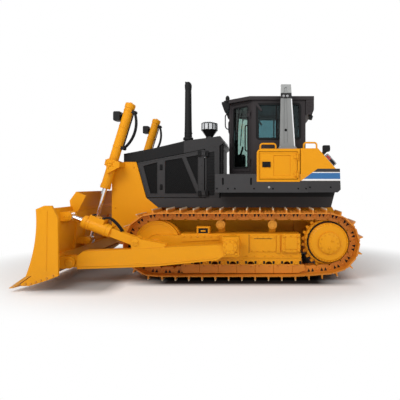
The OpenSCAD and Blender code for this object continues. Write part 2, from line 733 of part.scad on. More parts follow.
stack_r = 66;
module exhaust_stack() {
    color(black) translate([stack_at.x, stack_at.y, 0]) difference() {
        union() {
            translate([0, 0, stack_low]) cylinder(h = 40, r = 120);
            translate([0, 0, stack_low + 39]) cylinder(h = stack_top - stack_low - 39, r = stack_r);
        }
        translate([0, 0, stack_low + 150]) cylinder(h = stack_top, r = stack_r - 10);
        translate([-stack_r, -200, stack_top]) rotate([0, 24, 0]) cube([400, 400, 200]);
    }
}
cleaner_r = 167;
module air_precleaner() {
    color(black) translate([cleaner_at.x, cleaner_at.y, cleaner_low]) {
        cylinder(h = 50, r = 75);
        translate([0, 0, 49]) cylinder(h = 131, r1 = 75, r2 = cleaner_r);
        translate([0, 0, 179]) cylinder(h = 146, r = cleaner_r);
        translate([0, 0, 324]) cylinder(h = 32, r1 = cleaner_r, r2 = cleaner_r - 45);
    }
}

// Platform: an open box over the tracks that carries the cab
deck_top = 1878;
deck_half = fender_w / 2;
deck_low = 1543;
box_x = [1000, 1778];
box_low = 1738;
box_top = 2336;
module platform() {
    color(graphite) difference() {
        block([250, -deck_half, deck_low], [tank_x, deck_half, deck_top]);
        block([290, -deck_half + sheet_t, deck_low - 1], [tank_x + 1, deck_half - sheet_t, platform_low]);
        block([200, -half - 0.5, deck_low - 1], [skirt_front + 7, half + 0.5, deck_top + 1]);
        both() block([box_x[0] - 1, cab_half, box_low - 1], [box_x[1] + 1, deck_half + 1, deck_top + 1]);
    }
}

// Cab: a six-sided box whose two front corners are the doors
cab_half = cab_w / 2;
cab_front_x = 440;
cab_rear_x = 1920;
nose_half = 420;
corner_x = 920;
cab_top = 3286;
diag = [corner_x - cab_front_x, cab_half - nose_half];
diag_len = norm(diag);
diag_a = atan2(diag.y, diag.x);
diag_in = cab_wall * [sin(diag_a), -cos(diag_a)];
// Inner corners of the wall ring
nose_in = nose_half + diag_in.y + (cab_wall - diag_in.x) * tan(diag_a);
corner_in = cab_front_x + diag_in.x + (cab_half - cab_wall - nose_half - diag_in.y) / tan(diag_a);
module cab_ring(front, nose, corner, side, rear) {
    polygon([[front, -nose], [corner, -side], [rear, -side], [rear, side], [corner, side], [front, nose]]);
}
module cab_walls() {
    translate([0, 0, deck_top]) linear_extrude(cab_top - deck_top) difference() {
        cab_ring(cab_front_x, nose_half, corner_x, cab_half, cab_rear_x);
        cab_ring(cab_front_x + cab_wall, nose_in, corner_in, cab_half - cab_wall, cab_rear_x - cab_wall);
    }
}
// Places a shape built on the door's wall, with x along the wall from its front corner and y outwards
module on_diag() {
    translate([cab_front_x, nose_half, 0]) rotate([0, 0, diag_a]) children();
}
// A rectangle between two corners, rounded
module rounded(lo, hi, r) {
    translate([lo.x + r, lo.y]) square([hi.x - lo.x - 2 * r, hi.y - lo.y]);
    translate([lo.x, lo.y + r]) square([hi.x - lo.x, hi.y - lo.y - 2 * r]);
    for (x = [lo.x + r, hi.x - r], y = [lo.y + r, hi.y - r]) translate([x, y]) circle(r);
}
front_pane = [[-330, 2080], [330, 3240]];
side_pane = [[1010, 2564], [1807, 3205]];
rear_pane = [[-620, 2450], [620, 2980]];
pane_r = 45;
pane_sink = 20;
door_low = 1930;
door_top = 3250;
door_u = [62, diag_len - 66];
module cab_front() {
    color(graphite) difference() {
        intersection() {
            cab_walls();
            block([0, -nose_in, 0], [cab_front_x + cab_wall, nose_in, 4000]);
        }
        block([0, front_pane[0].x, front_pane[0].y], [900, front_pane[1].x, front_pane[1].y]);
    }
}
module cab_side() {
    difference() {
        intersection() {
            cab_walls();
            block([0, nose_in + clear, 0], [cab_rear_x - cab_wall - clear, 2000, 4000]);
        }
        plate(cab_half - 2 * cab_wall, 3 * cab_wall) rounded(side_pane[0], side_pane[1], pane_r);
        on_diag() block([door_u[0], -100, door_low], [door_u[1], 50, door_top]);
    }
    on_diag() for (z = cab_hinges) knuckle_pin([door_u[1] - 4, 22], z);
}
cab_hinges = [2120, 3020];
module cab_left_side() { color(graphite) mirror([0, 1, 0]) cab_side(); }
module cab_right_side() { color(graphite) cab_side(); }
module cab_rear() {
    color(graphite) difference() {
        intersection() {
            cab_walls();
            block([cab_rear_x - cab_wall, -2000, 0], [3000, 2000, 4000]);
        }
        block([cab_rear_x - 2 * cab_wall, rear_pane[0].x, rear_pane[0].y],
            [cab_rear_x + 10, rear_pane[1].x, rear_pane[1].y]);
    }
}
// Roof with a notch for each front lamp, and the air conditioner behind the cab
roof_top = 3345;
roof_front = 330;
roof_rear = 2075;
roof_side = cab_half + 40;
lamp_in = 262;
cooler_half = cab_half + 30;
cooler_low = 3010;
lamp_w = 190;
module cab_roof() {
    notch_y = nose_half + 40 + (cab_front_x - roof_front) * diag.y / diag.x;
    color(graphite) {
        translate([0, 0, cab_top]) linear_extrude(roof_top - cab_top) difference() {
            cab_ring(roof_front, nose_half + 40, corner_x - 60, roof_side, roof_rear);
            for (y = [-notch_y - 1, lamp_in]) translate([roof_front - 1, y])
                square([cab_front_x - roof_front + 1, notch_y + 1 - lamp_in]);
        }
        plate(-cooler_half, 2 * cooler_half)
            polygon([[cab_rear_x + 5, cooler_low], [roof_rear - 35, cooler_low], [roof_rear, cooler_low + 90],
                [roof_rear, cab_top + 10], [cab_rear_x + 5, cab_top + 10]]);
    }
}
module cab_glass() {
    color(dark_glass) {
        block([cab_front_x + pane_sink, front_pane[0].x, front_pane[0].y],
            [cab_front_x + pane_sink + glass_t, front_pane[1].x, front_pane[1].y]);
        both() plate(cab_half - pane_sink - glass_t, glass_t) rounded(side_pane[0], side_pane[1], pane_r);
        block([cab_rear_x - pane_sink - glass_t, rear_pane[0].x, rear_pane[0].y],
            [cab_rear_x - pane_sink, rear_pane[1].x, rear_pane[1].y]);
    }
}
// Cab door in its diagonal wall, hinged at the rear post
leaf_t = 40;
leaf_rim = 52;
glass_low = door_low + 90;
module cab_door() {
    on_diag() {
        difference() {
            block([door_u[0] + door_gap, -leaf_t, door_low + door_gap],
                [door_u[1] - door_gap, 0, door_top - door_gap]);
            block([door_u[0] + door_gap + leaf_rim, -leaf_t - 1, glass_low],
                [door_u[1] - door_gap - leaf_rim, 1, door_top - door_gap - leaf_rim]);
        }
        for (z = cab_hinges) knuckle([door_u[1] - 4, 22], z);
        block([door_u[0] + 16, -1, 2440], [door_u[0] + 46, 34, 2620]);
    }
}
module door_glass() {
    on_diag() block([door_u[0] + door_gap + leaf_rim, -pane_sink - glass_t, glass_low],
        [door_u[1] - door_gap - leaf_rim, -pane_sink, door_top - door_gap - leaf_rim]);
}
module cab_door_right() { color(graphite) cab_door(); }
module cab_door_left() { color(graphite) mirror([0, 1, 0]) cab_door(); }
module door_glass_right() { color(dark_glass) door_glass(); }
module door_glass_left() { color(dark_glass) mirror([0, 1, 0]) door_glass(); }

module operator_seat() {
    color(black) {
        block([1240, -180, deck_top], [1560, 180, 2180]);
        block([1180, -270, 2179], [1680, 270, 2320]);
        block([1580, -260, 2319], [1720, 260, 2960]);
    }
}
module operator_console() {
    color(black) {
        block([580, -300, deck_top], [740, 300, 2300]);
        for (y = [-480, 360]) block([1150, y, deck_top], [1560, y + 120, 2440]);
    }
}

// Roll-over frame on the two side boxes, with a groove down the outer face of each post
post_out = rops_w / 2;
post_in = post_out - 140;
post_top = 3526;
foot_t = 40;
module rops_posts() {
    color(graphite) both() {
        difference() {
            plate(post_in, post_out - post_in)
                polygon([[1420, box_top + foot_t - 1], [1705, box_top + foot_t - 1], [1626, post_top],
                    [1443, post_top]]);
            plate(post_out - 14, 20) polygon([[1492, 2450], [1572, 2450], [1550, 3470], [1500, 3470]]);
        }
        block([1400, post_in - 30, box_top], [1725, post_out + 40, box_top + foot_t]);
    }
}
module rops_beam() {
    color(graphite) block([1462, -post_in, 3372], [1608, post_in, post_top - 4]);
}

// Side boxes: a locker with a door on the left, a hydraulic tank on the right
box_r = 90;
locker_wall = 40;
locker_axis = box_x[1] - locker_wall - door_gap / 2;
module box_side() {
    translate([box_x[0] + box_r, box_low]) square([box_x[1] - box_x[0] - box_r, box_top - box_low]);
    translate([box_x[0], box_low]) square([box_r + 1, box_top - box_low - box_r]);
    translate([box_x[0] + box_r, box_top - box_r]) circle(box_r);
}
module left_box() {
    color(yellow) mirror([0, 1, 0]) {
        difference() {
            plate(cab_half, deck_half - cab_half) box_side();
            block([box_x[0] + locker_wall, cab_half + locker_wall, box_low + locker_wall],
                [box_x[1] - locker_wall, deck_half + 1, box_top - locker_wall - 10]);
        }
        for (z = locker_hinges) knuckle_pin([locker_axis, deck_half + 20], z);
    }
}
locker_hinges = [1870, 2190];
module box_door() {
    edge = locker_wall + door_gap;
    color(yellow) mirror([0, 1, 0]) {
        difference() {
            block([box_x[0] + edge, deck_half - 32, box_low + edge],
                [box_x[1] - edge, deck_half, box_top - edge - 10]);
            block([box_x[0] + 300, deck_half - 12, box_low + 110],
                [box_x[1] - 170, deck_half + 1, box_top - 120]);
        }
        block([1100, deck_half - 1, 2000], [1250, deck_half + 12, 2100]);
        for (z = locker_hinges) knuckle([locker_axis, deck_half + 20], z);
    }
}
cap_r = 70;
module hydraulic_tank() {
    color(yellow) {
        plate(cab_half, deck_half - cab_half) box_side();
        translate([1200, 950, box_top - 1]) cylinder(h = 50, r = cap_r);
    }
}
// Fuel tank behind the cab, down to the rear of the fenders
tank_x = cab_rear_x + 2;
tank_low = 1546;
tank_top = 2343;
tank_slope = [[2105, tank_top], [2400, 2005]];
// Point just over the tank's slope, at a distance in front of the origin
slope_run = tank_slope[1] - tank_slope[0];
function on_slope(x) = [x, tank_top + clear + (x - tank_slope[0].x) * slope_run.y / slope_run.x];
module fuel_tank() {
    color(yellow) {
        plate(-deck_half, 2 * deck_half) polygon([[tank_x, tank_low], [tank_x, tank_top], tank_slope[0],
            tank_slope[1], [2425, 1976], [2500, 1976], [2515, 1597], [2461, tank_low]]);
        both() block([box_x[1] + 15, cab_half + 4, deck_top], [tank_x + 10, deck_half, tank_top]);
        translate([2025, 600, tank_top - 1]) cylinder(h = 50, r = cap_r);
    }
}
rail_r = 16;
bend_r = 45;
// A grab rail over a flat top: two posts, two bends and the bar between them
module handrail(x, z, top) {
    for (k = [0, 1]) {
        translate([x[k], 0, z]) cylinder(h = top - rail_r - bend_r - z, r = rail_r);
        translate([x[k] + (1 - 2 * k) * bend_r, 0, top - rail_r - bend_r]) rotate([90, 0, 0])
            rotate([0, 0, 90 - 90 * k]) rotate_extrude(angle = 90) translate([bend_r, 0]) circle(rail_r);
    }
    translate([x[0] + bend_r, 0, top - rail_r]) rotate([0, 90, 0])
        cylinder(h = x[1] - x[0] - 2 * bend_r, r = rail_r);
}
module handrails() {
    color(yellow) both() translate([0, deck_half - 50, 0]) {
        handrail([1064, 1344], box_top, 2445);
        handrail([1854, 2087], tank_top, 2465);
    }
}
// Lamps: two at the front of the roof, two under the air conditioner, a beacon,
// and on each side two over the tank's slope
module work_lamps() {
    over = 75 * [-slope_run.y, slope_run.x] / norm(slope_run);
    color(black) {
        both() plate(lamp_in, lamp_w)
            polygon([[287, 3336], [cab_front_x, 3336], [cab_front_x, 3208], [363, 3130]]);
        both() plate(cooler_half - 150, 110)
            polygon([[1985, cooler_low - clear], [2038, cooler_low - clear], [2065, 2985], [2045, 2925],
                [1995, 2935]]);
        translate([385, -200, roof_top]) {
            cylinder(h = 60, r = 18);
            translate([0, 0, 45]) cylinder(h = 90, r = 42);
            translate([0, 0, 134]) cylinder(h = 38, r1 = 42, r2 = 20);
        }
        both() plate(1000, 120) polygon([on_slope(2170), on_slope(2215), [2290, 2300], [2230, 2300]]);
        both() block([2210, 985, 2290], [2320, 1135, 2400]);
        both() plate(1000, 120)
            polygon([on_slope(2228), on_slope(2390), on_slope(2390) + over, on_slope(2228) + over]);
    }
}

module track_left() { track(-1); }
module track_right() { track(1); }

main_frame();
rear_case();
engine_block();
radiator_guard();
radiator_core();
hood();
hood_sills();
exhaust_stack();
air_precleaner();
platform();
cab_front();
cab_left_side();
cab_right_side();
cab_rear();
cab_roof();
cab_glass();
operator_seat();
operator_console();
rops_posts();
rops_beam();
left_box();
hydraulic_tank();
fuel_tank();
handrails();
work_lamps();
track_frames();
idlers();
sprockets();
final_drives();
track_rollers();
carrier_rollers();
pivot_shafts();
equalizer_bar();
track_left();
track_right();
push_arms();
blade();
cutting_edge();
lift_barrel_left();
lift_barrel_right();
lift_fitting_left();
lift_fitting_right();
lift_rod_left();
lift_rod_right();
tilt_barrel_left();
tilt_barrel_right();
tilt_rod_left();
tilt_rod_right();
engine_door_left();
engine_door_right();
cab_door_left();
cab_door_right();
door_glass_left();
door_glass_right();
box_door();
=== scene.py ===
"""Crawler bulldozer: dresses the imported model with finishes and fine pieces, and sets up the studio."""

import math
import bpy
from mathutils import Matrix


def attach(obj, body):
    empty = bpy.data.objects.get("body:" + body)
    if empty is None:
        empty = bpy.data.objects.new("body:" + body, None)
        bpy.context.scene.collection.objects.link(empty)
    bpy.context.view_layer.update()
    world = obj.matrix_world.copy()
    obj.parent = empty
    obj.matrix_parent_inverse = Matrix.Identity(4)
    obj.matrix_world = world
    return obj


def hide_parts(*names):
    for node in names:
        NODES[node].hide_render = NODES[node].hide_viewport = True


bl_info = {
    "name": "Crawler Bulldozer",
    "version": (1, 0, 0),
    "blender": (4, 5, 0),
    "location": "View3D > Sidebar > Bulldozer",
    "description": "Dresses a packed bulldozer with paint, glass, bolts, mesh and trim",
    "category": "Object",
}

import bmesh
import bpy
import numpy as np
from mathutils import Vector

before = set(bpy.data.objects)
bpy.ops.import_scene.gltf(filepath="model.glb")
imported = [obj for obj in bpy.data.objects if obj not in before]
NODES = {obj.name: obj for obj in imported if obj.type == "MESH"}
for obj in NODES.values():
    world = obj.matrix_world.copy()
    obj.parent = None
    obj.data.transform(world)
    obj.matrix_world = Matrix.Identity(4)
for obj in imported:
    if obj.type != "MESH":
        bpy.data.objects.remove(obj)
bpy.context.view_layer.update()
X, Y, Z = np.eye(3)
SIDES = (("left", -1.0), ("right", 1.0))


# Shapes: each is a pair of a vertex array and a list of face arrays


def grid_faces(rows, cols, closed):
    """Quads of a grid of rows by cols points; a closed grid joins its last column to its first."""
    r = np.arange(rows - 1)[:, None]
    c = np.arange(cols if closed else cols - 1)[None, :]
    n = (c + 1) % cols
    return np.stack([r * cols + c, r * cols + n, (r + 1) * cols + n, (r + 1) * cols + c], -1).reshape(-1, 4)


def rings(points):
    """A closed skin through rings (rows, cols, 3), with an n-gon on the first and on the last."""
    rows, cols = points.shape[:2]
    first = np.arange(cols)[None, ::-1]
    last = (rows - 1) * cols + np.arange(cols)[None, :]
    return points.reshape(-1, 3), [grid_faces(rows, cols, True), first, last]


def closed_band(points):
    """A skin through an array of rings (rows, cols, 3) whose last ring joins its first."""
    rows, cols = points.shape[:2]
    return points.reshape(-1, 3), [grid_faces(rows + 1, cols, True) % (rows * cols)]


def across(axis):
    """Unit axis and two unit vectors square to it; rows of axes give rows of vectors."""
    axis = np.atleast_2d(np.asarray(axis, float))
    axis = axis / np.linalg.norm(axis, axis=1, keepdims=True)
    ref = np.where(np.abs(axis[:, 2:]) < 0.9, Z, X)
    u = np.cross(ref, axis)
    u /= np.linalg.norm(u, axis=1, keepdims=True)
    return axis, u, np.cross(axis, u)


def lathe(profile, base, axis, sides=28):
    """A profile of (radius, height) turned round an axis.

    Its points are base + height * axis + radius * (cos t * u + sin t * v).
    """
    profile = np.asarray(profile, float)
    a, u, v = (k[0] for k in across(axis))
    t = np.linspace(0, 2 * math.pi, sides, endpoint=False)[:, None]
    ring = np.cos(t) * u + np.sin(t) * v
    return rings(np.asarray(base, float) + profile[:, 1, None, None] * a + profile[:, 0, None, None] * ring)


def hoop(profile, base, axis, sides=28):
    """A ring: a closed profile turned round an axis as lathe does, open in its middle."""
    return closed_band(lathe(profile, base, axis, sides)[0].reshape(len(profile), sides, 3))


def tube(path, radius, sides=10, ref=Y):
    """A circle carried along a path, from a side that is square to the path and to ref.

    Its points are path + radius * (cos t * side + sin t * rise).
    """
    path = np.asarray(path, float)
    ahead = np.gradient(path, axis=0)
    ahead /= np.linalg.norm(ahead, axis=1, keepdims=True)
    side = np.cross(ahead, ref)
    side /= np.linalg.norm(side, axis=1, keepdims=True)
    rise = np.cross(side, ahead)
    t = np.linspace(0, 2 * math.pi, sides, endpoint=False)[None, :, None]
    radius = np.broadcast_to(np.asarray(radius, float), (len(path),))[:, None, None]
    return rings(path[:, None] + radius * (np.cos(t) * side[:, None] + np.sin(t) * rise[:, None]))


def inset(outline, by):
    """An anticlockwise outline moved inwards: each corner goes along the sum of its two edge normals."""
    edge = np.roll(outline, -1, 0) - outline
    n = np.stack([-edge[:, 1], edge[:, 0]], 1) / np.linalg.norm(edge, axis=1, keepdims=True)
    before = np.roll(n, 1, 0)
    return outline + by * (n + before) / (1 + (n * before).sum(1, keepdims=True))


def anticlockwise(outline):
    """The outline, turned round if its area, half the sum of x * next y - y * next x, is negative."""
    outline = np.asarray(outline, float)
    ahead = np.roll(outline, -1, 0)
    area = np.sum(outline[:, 0] * ahead[:, 1] - outline[:, 1] * ahead[:, 0])
    return outline if area > 0 else outline[::-1]


def slab(outline, at, u, v, depth, bevel):
    """A flat outline in the directions u and v made a plate along u x v, its front edge bevelled."""
    outline = anticlockwise(outline)
    u, v = np.asarray(u, float), np.asarray(v, float)
    n = np.cross(u, v)
    layers = ((0.0, 0.0), (0.0, depth - bevel), (bevel, depth))
    place = [inset(outline, b) @ np.stack([u, v]) + h * n for b, h in layers]
    return rings(np.asarray(at, float) + np.stack(place))


def rounded(w, h, r, steps=5):
    """Outline of a rectangle w by h about its middle: quarter circles of radius r at its four corners."""
    t = np.linspace(0, math.pi / 2, steps)
    arc = np.stack([np.cos(t), np.sin(t)], 1) * r
    turn = np.array([[0.0, 1.0], [-1.0, 0.0]])
    quarter = [arc, arc @ turn, arc @ turn @ turn, arc @ turn @ turn @ turn]
    corner = np.array([[1, 1], [-1, 1], [-1, -1], [1, -1]]) * [w / 2 - r, h / 2 - r]
    return np.concatenate([q + c for q, c in zip(quarter, corner)])


def rect(x0, y0, x1, y1):
    """Outline of a rectangle between two corners."""
    return [(x0, y0), (x1, y0), (x1, y1), (x0, y1)]


def frame_ring(outline, width, at, u, v, depth, bevel):
    """A flat frame of some depth from the outline to the outline moved in by the width, as a closed band."""
    outline = np.asarray(outline, float)
    n = np.cross(u, v)
    layers = (
        (0, 0), (0, depth - bevel), (bevel, depth), (width - bevel, depth), (width, depth - bevel),
        (width, 0)
    )
    place = np.stack(
        [inset(outline, b) @ np.stack([u, v]) + h * n for b, h in layers]
    ) + np.asarray(at, float)
    return closed_band(place)


def repeated(faces, count, corners):
    """The same faces for a row of like shapes, each with so many corners."""
    shift = np.arange(count)[:, None, None] * corners
    return (faces[None] + shift).reshape(-1, faces.shape[1])


def copies(shape, origins, axes):
    """Copies of a shape built along +Z, each at an origin and pointing along an axis."""
    verts, faces = shape
    origins = np.atleast_2d(np.asarray(origins, float))
    a, u, v = across(np.broadcast_to(np.asarray(axes, float), origins.shape))
    place = origins[:, None] + verts @ np.stack([u, v, a], 1)
    return place.reshape(-1, 3), [repeated(f, len(origins), len(verts)) for f in faces]


BOX_FACES = np.array([[0, 1, 2, 3], [7, 6, 5, 4], [0, 4, 5, 1], [1, 5, 6, 2], [2, 6, 7, 3], [3, 7, 4, 0]])


def bars(starts, ends, normal, width, height):
    """Flat bars from starts to ends: a rectangle at each end, its height along the normal."""
    starts, ends = np.asarray(starts, float), np.asarray(ends, float)
    ahead = ends - starts
    side = np.cross(ahead, normal)
    side *= width / 2 / np.linalg.norm(side, axis=1, keepdims=True)
    up = np.asarray(normal, float) * height
    section = np.stack([-side, side, side + up, -side + up], 1)
    verts = np.concatenate([starts[:, None] + section, ends[:, None] + section], 1)
    return verts.reshape(-1, 3), [repeated(BOX_FACES, len(starts), 8)]


def bolt(size):
    """A hexagon head on a washer: six-sided rings of falling radius on a twelve-sided disc."""
    washer = lathe([(size * 0.98, 0), (size, size * 0.1), (size * 0.94, size * 0.2)], (0, 0, 0), Z, 12)
    head = lathe(
        [(size * 0.8, size * 0.15), (size * 0.8, size * 0.68), (size * 0.62, size * 0.8)],
        (0, 0, 0), Z, 6
    )
    return join([washer, head])


def join(shapes):
    """Several shapes as one: their vertices in a row and their faces shifted along."""
    start = np.cumsum([0] + [len(s[0]) for s in shapes])
    faces = [f + k for s, k in zip(shapes, start) for f in s[1]]
    return np.concatenate([s[0] for s in shapes]), faces


def flip(shape):
    """A shape mirrored from one side of the machine to the other."""
    return shape[0] * [1, -1, 1], [f[:, ::-1] for f in shape[1]]


def put(name, shapes, finish, body, sharp=40):
    """Makes one object of some shapes, smooth up to the sharp angle, with its finish and body."""
    verts, faces = join(shapes)
    mesh = bpy.data.meshes.new(name)
    loops = np.concatenate([f.ravel() for f in faces])
    total = np.concatenate([np.full(len(f), f.shape[1]) for f in faces])
    mesh.vertices.add(len(verts))
    mesh.vertices.foreach_set("co", verts.astype(np.float32).ravel())
    mesh.loops.add(len(loops))
    mesh.loops.foreach_set("vertex_index", loops.astype(np.int32))
    mesh.polygons.add(len(total))
    mesh.polygons.foreach_set("loop_start", (np.cumsum(total) - total).astype(np.int32))
    mesh.polygons.foreach_set("loop_total", total.astype(np.int32))
    mesh.update(calc_edges=True)
    mesh.validate()
    outwards(mesh)
    mesh.polygons.foreach_set("use_smooth", np.ones(len(total), bool))
    mesh.set_sharp_from_angle(angle=math.radians(sharp))
    mesh.materials.append(finish)
    piece = bpy.data.objects.new(name, mesh)
    bpy.context.scene.collection.objects.link(piece)
    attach(piece, body)
    return piece


def outwards(mesh):
    """Turns every closed shell's faces outwards."""
    work = bmesh.new()
    work.from_mesh(mesh)
    bmesh.ops.recalc_face_normals(work, faces=work.faces)
    work.to_mesh(mesh)
    work.free()


def arc(start, bend, end, count=14):
    """A smooth bent path: the quadratic curve (1-t)^2 start + 2t(1-t) bend + t^2 end."""
    t = np.linspace(0, 1, count)[:, None]
    a, b, c = (np.asarray(p, float) for p in (start, bend, end))
    return (1 - t) ** 2 * a + 2 * t * (1 - t) * b + t**2 * c


def bead(path, size):
    """A weld bead along a path: a thin tube whose radius swells and narrows with each ripple."""
    path = np.asarray(path, float)
    run = np.concatenate([[0], np.cumsum(np.linalg.norm(np.diff(path, axis=0), axis=1))])
    s = np.linspace(0, run[-1], max(8, int(run[-1] / (size * 0.9))))
    line = np.stack([np.interp(s, run, path[:, k]) for k in range(3)], 1)
    return tube(line, size * (1 + 0.18 * np.cos(math.pi * np.arange(len(s)))), 6, X + 0.31 * Y + 0.17 * Z)


# Sizes and colours that a user would change


def shade(name, text, colour):
    """A colour property."""
    return bpy.props.FloatVectorProperty(
        name=name, description=text, default=colour, subtype="COLOR", min=0, max=1
    )


def length(name, text, metres):
    """A length property in metres."""
    return bpy.props.FloatProperty(name=name, description=text, default=metres, min=0.0005, unit="LENGTH")


class DozerColours(bpy.types.PropertyGroup):
    """Paints and finishes of the machine."""

    yellow: shade("Yellow", "Body paint", (0.80, 0.322, 0.007))
    chain: shade("Chain", "Painted track chain and shoes", (0.66, 0.215, 0.008))
    graphite: shade("Graphite", "Dark paint of hood, cab and platform", (0.017, 0.0165, 0.017))
    # Black also carries painted shade: the strip under the platform's edge, the floors of the door panels,
    # the platform's slots and the posts' drain hole.
    black: shade("Black", "Matt black of sills, mesh and stack", (0.006, 0.006, 0.0065))
    grey: shade("Grey", "Paint of the roll-over frame", (0.235, 0.24, 0.236))
    # Rubber also darkens plates of painted shade: the chain's windows, the frame's slots, the push arms'
    # gaps and the floor behind the cowl louvres.
    rubber: shade("Rubber", "Seals, hoses and wipers", (0.007, 0.007, 0.0075))
    blue: shade("Blue", "Broad stripe on the rear", (0.045, 0.16, 0.37))
    # White also paints the painted highlight down the roll-over posts' rear edge.
    white: shade("White", "Thin stripes and lamp rims", (0.82, 0.83, 0.84))
    glass: shade("Glass", "Tint of the cab glass", (0.235, 0.40, 0.43))
    # The door glass is a lighter copy of the cab glass: painted light for the brighter look through the
    # doors.
    door_glass: shade("Door glass", "Lighter tint of the door glass", (0.51, 0.65, 0.61))
    dust: shade("Dust", "Dry dust in the corners and low down", (0.34, 0.19, 0.06))
    fabric: shade("Fabric", "Seat cloth", (0.030, 0.032, 0.036))
    # The clear lens is given a pale colour as a painted reflection of the lamp's reflector.
    lens: shade("Lens", "Clear lamp glass", (0.86, 0.88, 0.90))
    red: shade("Red", "Tail lamp glass", (0.50, 0.02, 0.015))


class DozerSizes(bpy.types.PropertyGroup):
    """Sizes of the fine pieces."""

    shoe_bolt: length("Shoe bolt", "Radius of a track shoe bolt's head", 0.019)
    frame_bolt: length("Frame bolt", "Radius of a track frame bolt's head", 0.017)
    pivot_bolt: length("Pivot bolt", "Radius of the bolts of the pivot shaft's cover", 0.026)
    guard_bolt: length("Guard bolt", "Radius of the radiator guard's bolts", 0.018)
    strap_bolt: length("Strap bolt", "Radius of the bolts of the push arm's strap", 0.022)
    deck_bolt: length("Deck bolt", "Radius of the platform's side bolts", 0.015)
    mesh_pitch: length("Mesh pitch", "Distance between the wires of the engine door mesh", 0.026)
    mesh_wire: length("Mesh wire", "Width of a wire of the mesh", 0.006)
    weld: length("Weld", "Radius of a weld bead", 0.006)
    side_seal: length("Side seal", "Width of the rubber round a side window", 0.044)
    door_seal: length("Door seal", "Width of the rubber round a door's window", 0.030)
    end_seal: length("End seal", "Width of the rubber round the front and rear windows", 0.040)
    lift_pipe: length("Lift pipe", "Radius of the pipe on a lift cylinder", 0.0115)
    tilt_pipe: length("Tilt pipe", "Radius of the pipes on a tilt cylinder", 0.014)


def colours():
    return bpy.context.scene.dozer_colours


def sizes():
    return bpy.context.scene.dozer_sizes


# Materials


def feed(tree, inputs, values):
    """Gives inputs their values: a link where the value is a socket, else a plain value."""
    for key, value in values.items():
        if isinstance(value, bpy.types.NodeSocket):
            tree.links.new(value, inputs[key])
        else:
            inputs[key].default_value = value


def add(tree, kind, values=(), **settings):
    """Adds a shader node, with its settings and its input values or links."""
    made = tree.nodes.new(kind)
    for key, value in settings.items():
        setattr(made, key, value)
    feed(tree, made.inputs, dict(values))
    return made


def maths(tree, what, a, b=0.0, c=0.0, clamp=False):
    """A Math node's output."""
    return add(tree, "ShaderNodeMath", {0: a, 1: b, 2: c}, operation=what, use_clamp=clamp).outputs[0]


def spot_of(tree):
    """A point of the object, in the object's own frame."""
    return add(tree, "ShaderNodeTexCoord").outputs["Object"]


def noise(tree, place, scale, detail, rough=0.5):
    """A Noise Texture's value."""
    values = {"Vector": place, "Scale": scale, "Detail": detail, "Roughness": rough}
    return add(tree, "ShaderNodeTexNoise", values).outputs[0]


def ramp(tree, value, low=0.0, high=1.0, first=0.0, last=1.0, **settings):
    """The value's way from low to high turned into one from first to last, and held beyond both."""
    return add(
        tree, "ShaderNodeMapRange", {0: value, 1: low, 2: high, 3: first, 4: last}, **settings
    ).outputs[0]


def blend(tree, fac, a, b):
    """The colour a turned into the colour b by the factor."""
    return add(tree, "ShaderNodeMix", {"Factor": fac, 6: a, 7: b}, data_type="RGBA").outputs[2]


def within(tree, value, low, high, soft=0.002):
    """One where the value lies between two limits, nothing elsewhere, with soft ends."""
    up = ramp(tree, value, low - soft, low + soft)
    down = ramp(tree, value, high - soft, high + soft, 1.0, 0.0)
    return maths(tree, "MULTIPLY", up, down)


def rgba(colour, by=1.0):
    """A colour, made lighter or darker, with full cover."""
    return (*(min(1.0, by * c) for c in colour), 1.0)


def toned(colour, by):
    """A colour made lighter or darker."""
    return rgba(colour, by)[:3]


def group(name, inputs, outputs):
    """An empty shader node group with named sockets, and its two ends."""
    tree = bpy.data.node_groups.new(name, "ShaderNodeTree")
    for label, kind, value in inputs:
        socket = tree.interface.new_socket(label, in_out="INPUT", socket_type=kind)
        socket.default_value = value
    for label, kind in outputs:
        tree.interface.new_socket(label, in_out="OUTPUT", socket_type=kind)
    return tree, tree.nodes.new("NodeGroupInput").outputs, tree.nodes.new("NodeGroupOutput").inputs


COLOR, VALUE = "NodeSocketColor", "NodeSocketFloat"


def paint_skin():
    """Sprayed paint: slow changes of tone over a panel and the fine orange peel of its surface."""
    tree, got, out = group(
        "paint_skin",
        [("Color", COLOR, (1, 1, 1, 1)), ("Tone", VALUE, 0.08), ("Peel", VALUE, 320.0)],
        [("Color", COLOR), ("Height", VALUE)],
    )
    place = spot_of(tree)
    slow = noise(tree, place, 1.7, 4.0, 0.55)
    low = maths(tree, "SUBTRACT", 1.0, got["Tone"])
    span = maths(tree, "MULTIPLY", got["Tone"], 2.0)
    tone = maths(tree, "MULTIPLY_ADD", slow, span, low)
    lit = add(tree, "ShaderNodeVectorMath", {0: got["Color"], "Scale": tone}, operation="SCALE")
    peel = noise(tree, place, got["Peel"], 2.0)
    feed(tree, out, {"Color": lit.outputs[0], "Height": peel})
    return tree


